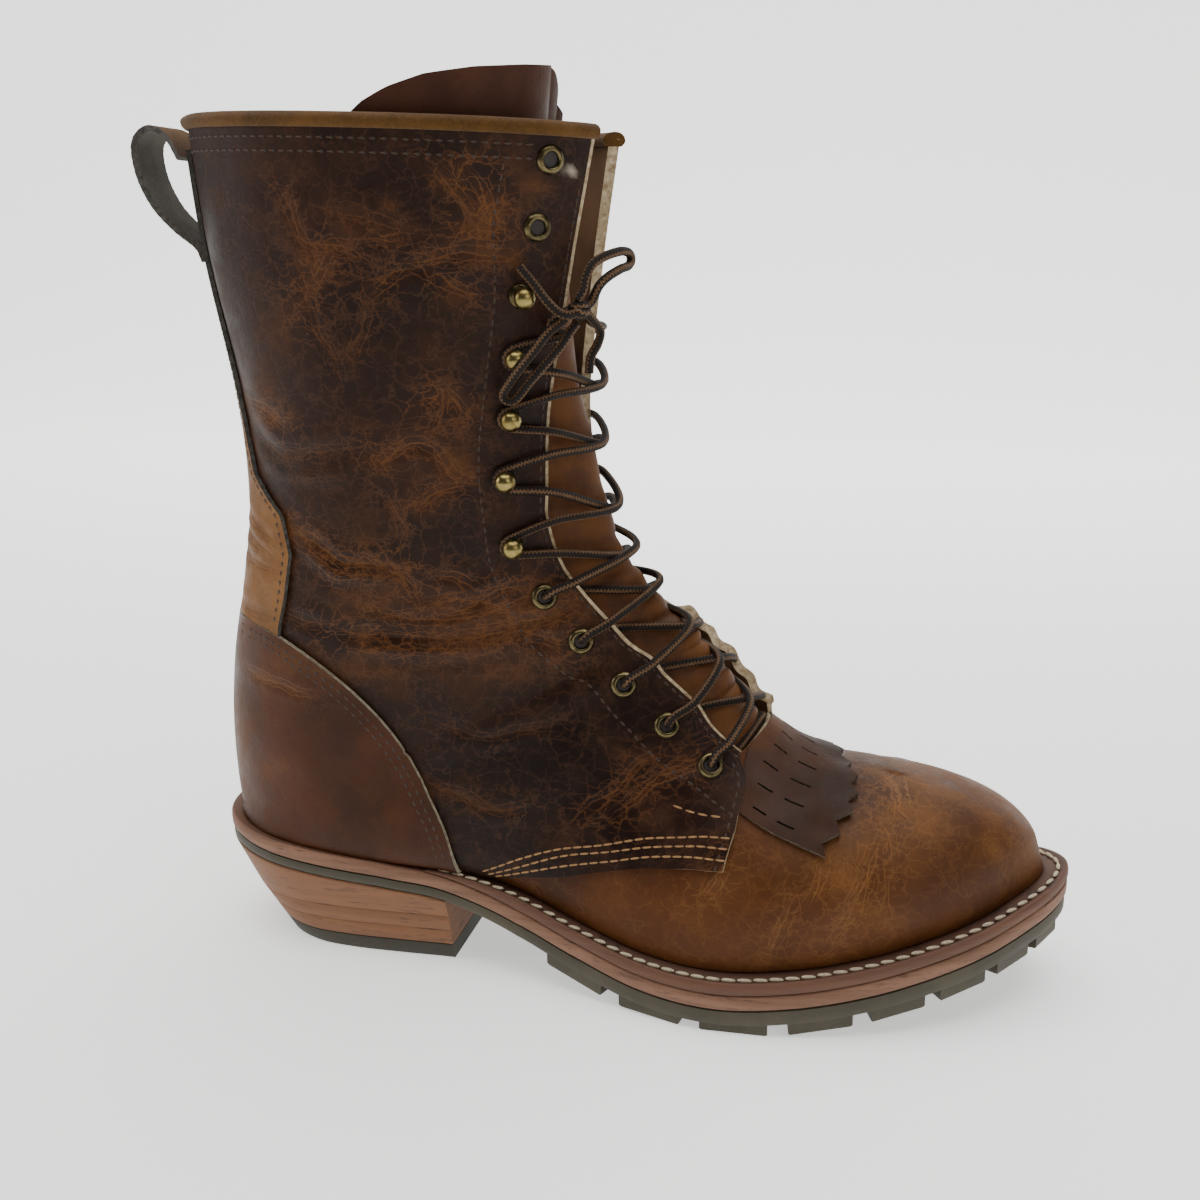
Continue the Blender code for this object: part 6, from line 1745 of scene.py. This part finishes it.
def leather_seams():
    """Lines of the brown seams: collar, eyestay, throat, tab, counter and backstay."""
    lines = []
    for s in COLLAR_SEAMS:
        for side in (OUTER, INNER):
            lines.append(surface_line([(s, t) for t in COLLAR_SEAM_PLACES], side, QUARTER_STEP, 120))
    lines += both_sides(EYESTAY_SEAM, QUARTER_STEP, 160)
    lines += near_edge(EDGE_SEAM, QUARTER_STEP, *THROAT_SEAM_ENDS)
    tab = offset_seam(QUARTER_FRONT, TAB_SEAM)
    lines += both_sides([p for p in tab if p[1] < TAB_SEAM_TOP], QUARTER_STEP, 60)
    overlay = QUARTER_STEP + OVERLAY_GAP + COUNTER_THICK
    for distance in COUNTER_SEAMS:
        places = seam_places([(x, z) for x, z in offset_seam(COUNTER_TOP[1:], distance)
                              if x > COUNTER_SEAM_BACK and z > COUNTER_SEAM_LOW])
        lines += [surface_line(places, side, overlay, 120) for side in (OUTER, INNER)]
    stay = QUARTER_STEP + OVERLAY_GAP + BACKSTAY_THICK
    places = []
    for s in np.linspace(*BACKSTAY_SEAM_ENDS, 60):
        share = float(table_value(BACKSTAY, s)) - EDGE_SEAM / float(section_length(s, OUTER))
        places.append((s, max(share, 0.02)))
    lines += [surface_line(places, side, stay, 160) for side in (OUTER, INNER)]
    return lines


def stitch(size, pitch, sides=6):
    share, width, height = size
    return pill(share * pitch, width, height, sides)


def build_stitches():
    sizes = bpy.context.scene.boot_sizes
    seams = leather_seams()
    pitch = sizes.seam_pitch / MM
    set_along("seam_stitches", seams, *stitch(SEAM_STITCH, pitch), finish_named("brown_thread"), pitch,
              slot="leather")
    # Painted shade: a dark dot sits in each stitch hole, between the stitches.
    shifted = [line[max(1, int(0.5 * pitch)):] for line in seams]
    set_along("seam_holes", shifted, *lathe(STITCH_HOLE_SHADE, 7), finish_named("hole"), pitch, slot="leather")
    arcs = [line for points in TAB_ARCS for line in both_sides(points, QUARTER_STEP, 120)]
    arcs += both_sides(TAB_BAR, QUARTER_STEP, 30)
    pitch = sizes.tab_pitch / MM
    set_along("tab_stitches", arcs, *stitch(TAB_STITCH, pitch), finish_named("tan_thread"), pitch,
              slot="leather")
    path = []
    for s, side in welt_stations(260):
        x, y = outline(s, side, WELT_SEAM_SHARE * ledge_at(s))
        if x > WELT_START_X + WELT_SEAM_START:
            path.append(((x, y, float(welt_top(x)) - WELT_SEAM_SINK), (0.0, 0.0, 1.0)))
    pitch = sizes.welt_pitch / MM
    set_along("welt_stitches", [path], *stitch(WELT_STITCH, pitch, 8), finish_named("cream_thread"), pitch,
              slot="sole_leather")


# Fittings and laces
def fitting_place(x, z, side):
    """Section place and t of a fitting; on the inner side it lies as far from the throat edge."""
    s, t = place_at(x, z)
    if side == INNER:
        t = float(throat_edge(s, INNER) - (throat_edge(s, OUTER) - t))
    return s, t


def fitting_points(places, side):
    """Point, way up and way along the boot for each fitting."""
    points = []
    for s, t in places:
        up = normals(s, t, side)
        ahead = surface(s + 0.1, t, side) - surface(s - 0.1, t, side)
        points.append((surface(s, t, side) + (QUARTER_STEP + GAP) * up, up, ahead))
    return points


def build_fittings():
    rings, hooks, ring_nodes, hook_nodes = [], [], [], []
    for label, side in (("outer", OUTER), ("inner", INNER)):
        eyelets = [fitting_place(x, z, side) for x, z in EYELETS_LOW + EYELETS_TOP]
        rings += fitting_points(eyelets, side)
        hooks += fitting_points([fitting_place(x, z, side) for x, z in HOOKS], side)
        ring_nodes += ["eyelet_%s_%d" % (label, k + 1) for k in range(len(eyelets))]
        hook_nodes += ["hook_%s_%d" % (label, k + 1) for k in range(len(HOOKS))]
    set_along("eyelet_rings", [rings], *lathe(EYELET_PROFILE, 28), finish_named("eyelet"), None, ring_nodes,
              "brass")
    # Painted shade: a dark disc fills the opening of each eyelet.
    set_along("eyelet_holes", [rings], *lathe(EYELET_HOLE_SHADE, 20), finish_named("hole"), slot="leather")
    set_along("hook_bases", [hooks], *lathe(HOOK_BASE_PROFILE, 24), finish_named("dark_brass"), None,
              hook_nodes, "brass")
    set_along("hook_balls", [hooks], *lathe(HOOK_BALL_PROFILE, 24), finish_named("brass"), slot="brass")


def over(s, turn, lift):
    """Point over the upper; the turn runs from the back along the outer side, past 1 on the inner side."""
    if turn <= 1.0:
        return lifted(s, turn, OUTER, lift)
    return lifted(s, 2.0 - turn, INNER, lift)


def lace_strand(fits, first):
    """Route of one half of the lace from the middle of the bottom bar to the last hook."""
    side = first
    centre = 0.5 * (fits[OUTER][0][0][0] + fits[INNER][0][0][0])
    route = [over(centre, 1.0, -1.2)]
    for k in range(len(fits[first])):
        (s, t), is_hook = fits[side][k]
        unit = 1.0 / float(section_length(s, side))
        move = 1.0 / np.linalg.norm(surface(s + 0.5, t, side) - surface(s - 0.5, t, side))

        def at(down, inward, lift, s=s, t=t, unit=unit, move=move, side=side):
            place = t + inward * unit
            return over(s + down * move, place if side == OUTER else 2.0 - place, lift)

        # Each point: way down the boot, way in from the fitting and lift, in millimetres.
        edge = float(throat_edge(s, side) - t) / unit
        if is_hook:
            route += [at(5.0, edge + 1.0, HOOK_LIFT - 0.4), at(3.2, 1.5, HOOK_LIFT), at(2.0, -1.7, HOOK_LIFT),
                      at(0.0, -2.7, HOOK_LIFT), at(-2.1, -1.5, HOOK_LIFT), at(-3.7, 1.5, HOOK_LIFT + 0.2),
                      at(-7.5, edge + 1.0, HOOK_LIFT)]
        else:
            route += [at(1.6, edge + 2.5, -2.6), at(0.8, edge - 2.0, -4.2), at(0.0, 0.0, -3.4),
                      at(0.0, 0.1, 0.6), at(-0.6, 1.2, 3.4), at(-1.8, 4.2, 4.6), at(-3.2, edge + 0.5, 4.2)]
        if k + 1 < len(fits[side]):
            (next_s, next_t), _ = fits[-side][k + 1]
            turn_here = t if side == OUTER else 2.0 - t
            turn_next = next_t if side == INNER else 2.0 - next_t
            middle = turn_here + (turn_next - turn_here) * 0.5
            route.append(over(s + (next_s - s) * 0.5, middle, CROSS_OVER if side == OUTER else CROSS_UNDER))
            side = -side
    return route, side


def build_laces():
    fits = {side: [(fitting_place(x, z, side), False) for x, z in EYELETS_LOW]
            + [(fitting_place(x, z, side), True) for x, z in HOOKS[:-1]] for side in (OUTER, INNER)}
    s, t, lift = KNOT_PLACE
    points, faces, corners = [], [], []
    for first in (OUTER, INNER):
        route, side = lace_strand(fits, first)
        gap = LEAD_GAP / float(section_length(s, OUTER))
        route.append(over(s + 0.1, t + side * gap * 1.6, 6.4))
        route.append(over(s, t + side * gap * 0.5, lift - 1.0))
        path = smooth_route(route, 760)
        add_tube(points, faces, corners, path, LACE_RADIUS)
    nodes = ["lace_bar", "lace_lead_outer", "lace_lead_inner"] + ["lace_cross_%d" % k for k in range(1, 10)]
    make_piece("lace_run", points, faces, finishes("lace"), nodes, slot="lace", corners=corners, sharp=80)


def add_tube(points, faces, corners, path, radius):
    """Add a flattened tube along a path to lists of points, faces and corners."""
    more, rings, turns = tube(path, radius, flat=LACE_FLAT)
    base = len(points)
    points += more
    faces += [[v + base for v in ring] for ring in rings]
    corners += turns


def cord_piece(name, route, node, count):
    """Piece of lace along a route, with its path and its length in metres."""
    path = smooth_route(route, count)
    points, faces, corners = tube(path, LACE_RADIUS)
    made = make_piece(name, points, faces, finishes("lace"), (node,), slot="lace", corners=corners, sharp=80)
    length = float(np.linalg.norm(np.diff(path, axis=0), axis=1).sum()) * MM
    return made, (path + SHIFT) * MM, length


def build_bow():
    """Knot of three short turns of lace, two loops and two ends."""
    s, t, lift = KNOT_PLACE
    centre = over(s, t, lift)
    points, faces, corners = [], [], []
    for spread, tilt, lean in ((3.1, 0.35, 0.0), (2.8, 1.45, 0.5), (3.0, -0.7, -0.5)):
        turn = np.array(Matrix.Rotation(tilt, 3, "Y") @ Matrix.Rotation(lean, 3, "X"))
        angles = np.linspace(0.0, 2.0 * math.pi, 40)
        ring = np.stack([spread * 0.75 * np.cos(angles), spread * np.sin(angles), 0.4 * np.sin(2 * angles)],
                        axis=1)
        add_tube(points, faces, corners, ring @ turn.T + centre, KNOT_RADIUS)
    knot = make_piece("knot", points, faces, finishes("lace"), ("lace_knot",), slot="lace", corners=corners,
                      sharp=80)
    ends = [cord_piece("end_outer", END_OUTER, "lace_end_outer", 40)[0],
            cord_piece("end_inner", END_INNER, "lace_end_inner", 40)[0]]
    for name, route, node, pieces in (("bow_outer", BOW_OUTER, "lace_bow_outer", [knot, ends[0]]),
                                      ("bow_inner", BOW_INNER, "lace_bow_inner", [ends[1]])):
        made, path, length = cord_piece(name, route, node, 110)
        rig.cord(made, exit=path[0], length=length, diameter=2.0 * LACE_RADIUS * MM, far_end="object",
                stiffness="limp", lay="loose", path=path, with_pieces=pieces)


# Stage
CAMERA_PLACE = (0.10631, -0.45250, 0.25306)
CAMERA_TURN, CAMERA_DOWN, CAMERA_ROLL = 13.28, 14.64, -0.81
CAMERA_LENS = 40.76
ROOM_LIGHT = 0.12
# Floor in metres: half width, front edge, start and radius of the sweep, and where its glow is full.
FLOOR_HALF, FLOOR_FRONT, SWEEP_START, SWEEP_RADIUS, GLOW_END = 4.5, -2.5, 1.2, 2.2, 1.3
NEAR_GLOW, FAR_GLOW = 0.78, 1.95
# Soft boxes: name, place, aim, size and power.
LIGHTS = (("overhead", (0.0, 0.1, 1.7), (0.0, 0.0, 0.0), 2.2, 46.0),
          ("left window", (-1.5, -0.35, 0.7), (0.0, 0.0, 0.15), 0.9, 8.0),
          ("right front", (1.1, -0.9, 0.8), (0.0, 0.0, 0.1), 0.9, 4.5))


def build_stage():
    scene = bpy.context.scene
    c = scene.boot_colours
    turn, down, roll = (math.radians(a) for a in (CAMERA_TURN, CAMERA_DOWN, CAMERA_ROLL))
    right = Vector((math.cos(turn), math.sin(turn), 0.0))
    level = Vector((-math.sin(turn), math.cos(turn), 0.0))
    up = Vector((0.0, 0.0, 1.0))
    ahead = level * math.cos(down) - up * math.sin(down)
    over_head = level * math.sin(down) + up * math.cos(down)
    x_axis = right * math.cos(roll) + over_head * math.sin(roll)
    y_axis = -right * math.sin(roll) + over_head * math.cos(roll)
    camera = bpy.data.objects.new("camera", bpy.data.cameras.new("camera"))
    scene.collection.objects.link(camera)
    camera.matrix_world = Matrix((
        (x_axis.x, y_axis.x, -ahead.x, CAMERA_PLACE[0]),
        (x_axis.y, y_axis.y, -ahead.y, CAMERA_PLACE[1]),
        (x_axis.z, y_axis.z, -ahead.z, CAMERA_PLACE[2]),
        (0.0, 0.0, 0.0, 1.0)))
    camera.data.sensor_width = 36.0
    camera.data.lens = CAMERA_LENS
    camera.data.clip_start = 0.01
    scene.camera = camera

    f = Finish("pale floor")
    pale = full(c.floor)
    split = f.node("ShaderNodeSeparateXYZ")
    f.feed(split.inputs[0], f.place)
    glow = f.band(split.outputs["Y"], 0.0, GLOW_END, NEAR_GLOW, FAR_GLOW)
    f.feed(f.shader.inputs["Emission Strength"], glow)
    floor_finish = f.finish(pale, 0.75, Emission_Color=pale, Specular_IOR_Level=0.15)
    angles = np.linspace(0.0, 0.5 * math.pi, 48)
    sweep = np.stack([SWEEP_START + SWEEP_RADIUS * np.sin(angles),
                      SWEEP_RADIUS - SWEEP_RADIUS * np.cos(angles)], axis=1)
    line = np.vstack([[(FLOOR_FRONT, 0.0)], sweep])
    points = [(x, y, z) for y, z in line for x in (-FLOOR_HALF, FLOOR_HALF)]
    faces = [[2 * k, 2 * k + 1, 2 * k + 3, 2 * k + 2] for k in range(len(line) - 1)]
    mesh = bpy.data.meshes.new("floor")
    mesh.from_pydata(points, [], faces)
    mesh.materials.append(floor_finish)
    mesh.shade_smooth()
    floor = bpy.data.objects.new("floor", mesh)
    scene.collection.objects.link(floor)
    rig.stage(floor)

    world = bpy.data.worlds.new("soft room")
    scene.world = world
    world.use_nodes = True
    sky = world.node_tree.nodes["Background"]
    sky.inputs["Color"].default_value = full(c.room)
    sky.inputs["Strength"].default_value = ROOM_LIGHT
    for name, place, aim, size, power in LIGHTS:
        lamp = bpy.data.lights.new(name, "AREA")
        lamp.shape = "DISK"
        lamp.size = size
        lamp.energy = power
        light = bpy.data.objects.new(name, lamp)
        light.location = place
        light.rotation_euler = (Vector(aim) - Vector(place)).to_track_quat("-Z", "Y").to_euler()
        scene.collection.objects.link(light)


# Add-on
def colour_property(name, description, default):
    return bpy.props.FloatVectorProperty(name=name, description=description, default=default, subtype="COLOR",
                                         min=0.0, max=1.0)


class BootColours(bpy.types.PropertyGroup):
    """Colours of the boot and the stage"""
    quarter: colour_property("Quarters", "Leather of the shaft and quarters", (0.0175, 0.0058, 0.0028))
    rubbed: colour_property("Rubbed", "Rubbed tan of the creases", (0.128, 0.047, 0.0125))
    vein: colour_property("Cracks", "Pale cracks in the leather", (0.070, 0.030, 0.0150))
    vamp: colour_property("Vamp", "Leather of the vamp", (0.080, 0.0255, 0.0064))
    # This tan also paints the highlight on the top of the toe.
    vamp_rubbed: colour_property("Vamp creases", "Pale creases of the vamp", (0.210, 0.088, 0.0250))
    counter: colour_property("Counter", "Leather of the heel counter", (0.058, 0.0155, 0.0036))
    backstay: colour_property("Backstay", "Leather of the strip down the back", (0.190, 0.086, 0.0250))
    kiltie: colour_property("Kiltie", "Leather of the fringed leaf", (0.046, 0.0180, 0.0090))
    tongue_top: colour_property("Tongue top", "Leather of the tongue above the collar",
                                (0.056, 0.0190, 0.0092))
    tongue_low: colour_property("Tongue", "Rubbed leather of the tongue", (0.150, 0.056, 0.0135))
    suede: colour_property("Suede", "Collar binding and strap", (0.078, 0.034, 0.0055))
    midsole: colour_property("Midsole", "Raw edge of the midsole", (0.225, 0.108, 0.062))
    heel: colour_property("Heel", "Stacked heel leather", (0.202, 0.081, 0.029))
    rubber: colour_property("Rubber", "Outsole rubber", (0.037, 0.028, 0.0120))
    brass: colour_property("Brass", "Balls of the hooks", (0.255, 0.20, 0.072))
    lace: colour_property("Lace", "Dark cord of the lace", (0.0105, 0.0062, 0.0042))
    lace_pale: colour_property("Lace zigzag", "Pale stripes of the lace", (0.150, 0.078, 0.036))
    floor: colour_property("Floor", "Pale floor", (0.86, 0.865, 0.85))
    room: colour_property("Room", "Soft room light", (1.0, 1.0, 1.0))


class BootSizes(bpy.types.PropertyGroup):
    """Stitch sizes of the boot"""
    seam_pitch: bpy.props.FloatProperty(name="Seam pitch", description="Length of a seam stitch",
                                        default=0.0034, unit="LENGTH")
    tab_pitch: bpy.props.FloatProperty(name="Tab pitch", description="Length of a stitch on the tab",
                                       default=0.0036, unit="LENGTH")
    welt_pitch: bpy.props.FloatProperty(name="Welt pitch", description="Length of a welt stitch",
                                        default=0.0052, unit="LENGTH")


class MakeStage(bpy.types.Operator):
    """Camera, floor and soft light"""
    bl_idname = "boot.make_stage"
    bl_label = "Stage"

    def execute(self, context):
        build_stage()
        return {"FINISHED"}


class MakeBow(bpy.types.Operator):
    """Knot, loops and ends of the lace"""
    bl_idname = "boot.make_bow"
    bl_label = "Bow"

    def execute(self, context):
        build_bow()
        return {"FINISHED"}


class MakeLaces(bpy.types.Operator):
    """Lace through the eyelets and round the hooks"""
    bl_idname = "boot.make_laces"
    bl_label = "Laces"

    def execute(self, context):
        build_laces()
        return {"FINISHED"}


class MakeUpper(bpy.types.Operator):
    """Vamp and quarters with their lining"""
    bl_idname = "boot.make_upper"
    bl_label = "Upper"

    def execute(self, context):
        build_upper()
        return {"FINISHED"}


class MakeOverlays(bpy.types.Operator):
    """Heel counter and backstay"""
    bl_idname = "boot.make_overlays"
    bl_label = "Overlays"

    def execute(self, context):
        build_counter()
        build_backstay()
        return {"FINISHED"}


class MakeCollar(bpy.types.Operator):
    """Collar binding and pull strap"""
    bl_idname = "boot.make_collar"
    bl_label = "Collar"

    def execute(self, context):
        build_binding()
        build_loop()
        return {"FINISHED"}


class MakeTongue(bpy.types.Operator):
    """Tongue and fringed kiltie"""
    bl_idname = "boot.make_tongue"
    bl_label = "Tongue"

    def execute(self, context):
        build_tongue()
        build_kiltie()
        return {"FINISHED"}


class MakeSole(bpy.types.Operator):
    """Welt, midsole, outsole and heel"""
    bl_idname = "boot.make_sole"
    bl_label = "Sole"

    def execute(self, context):
        build_welt()
        build_midsole()
        build_outsole()
        build_heel()
        return {"FINISHED"}


class MakeStitches(bpy.types.Operator):
    """Seams of the upper and the welt"""
    bl_idname = "boot.make_stitches"
    bl_label = "Stitches"

    def execute(self, context):
        build_stitches()
        return {"FINISHED"}


class MakeFittings(bpy.types.Operator):
    """Eyelets and hooks"""
    bl_idname = "boot.make_fittings"
    bl_label = "Fittings"

    def execute(self, context):
        build_fittings()
        return {"FINISHED"}


MAKERS = (MakeStage, MakeBow, MakeLaces, MakeUpper, MakeOverlays, MakeCollar, MakeTongue, MakeSole,
          MakeStitches, MakeFittings)


class BootPanel(bpy.types.Panel):
    """Makers of the boot"""
    bl_idname = "VIEW3D_PT_boot"
    bl_label = "Lace-up boot"
    bl_space_type = "VIEW_3D"
    bl_region_type = "UI"
    bl_category = "Boot"

    def draw(self, context):
        for maker in MAKERS:
            self.layout.operator(maker.bl_idname)
        for group in (context.scene.boot_colours, context.scene.boot_sizes):
            for label in group.__annotations__:
                self.layout.prop(group, label)


CLASSES = (BootColours, BootSizes) + MAKERS + (BootPanel,)


def register():
    for item in CLASSES:
        bpy.utils.register_class(item)
    bpy.types.Scene.boot_colours = bpy.props.PointerProperty(type=BootColours)
    bpy.types.Scene.boot_sizes = bpy.props.PointerProperty(type=BootSizes)


def unregister():
    del bpy.types.Scene.boot_sizes
    del bpy.types.Scene.boot_colours
    for item in reversed(CLASSES):
        bpy.utils.unregister_class(item)


def main():
    register()
    bpy.ops.boot.make_stage()
    bpy.ops.boot.make_bow()
    bpy.ops.boot.make_laces()
    bpy.ops.boot.make_upper()
    bpy.ops.boot.make_overlays()
    bpy.ops.boot.make_collar()
    bpy.ops.boot.make_tongue()
    bpy.ops.boot.make_sole()
    bpy.ops.boot.make_stitches()
    bpy.ops.boot.make_fittings()
    with open("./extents.json", "w") as out:
        json.dump({"cad": [list(p) for p in CAD_BOX], "visual": [list(p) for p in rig.bounds()]}, out)


if __name__ == "__main__":
    main()
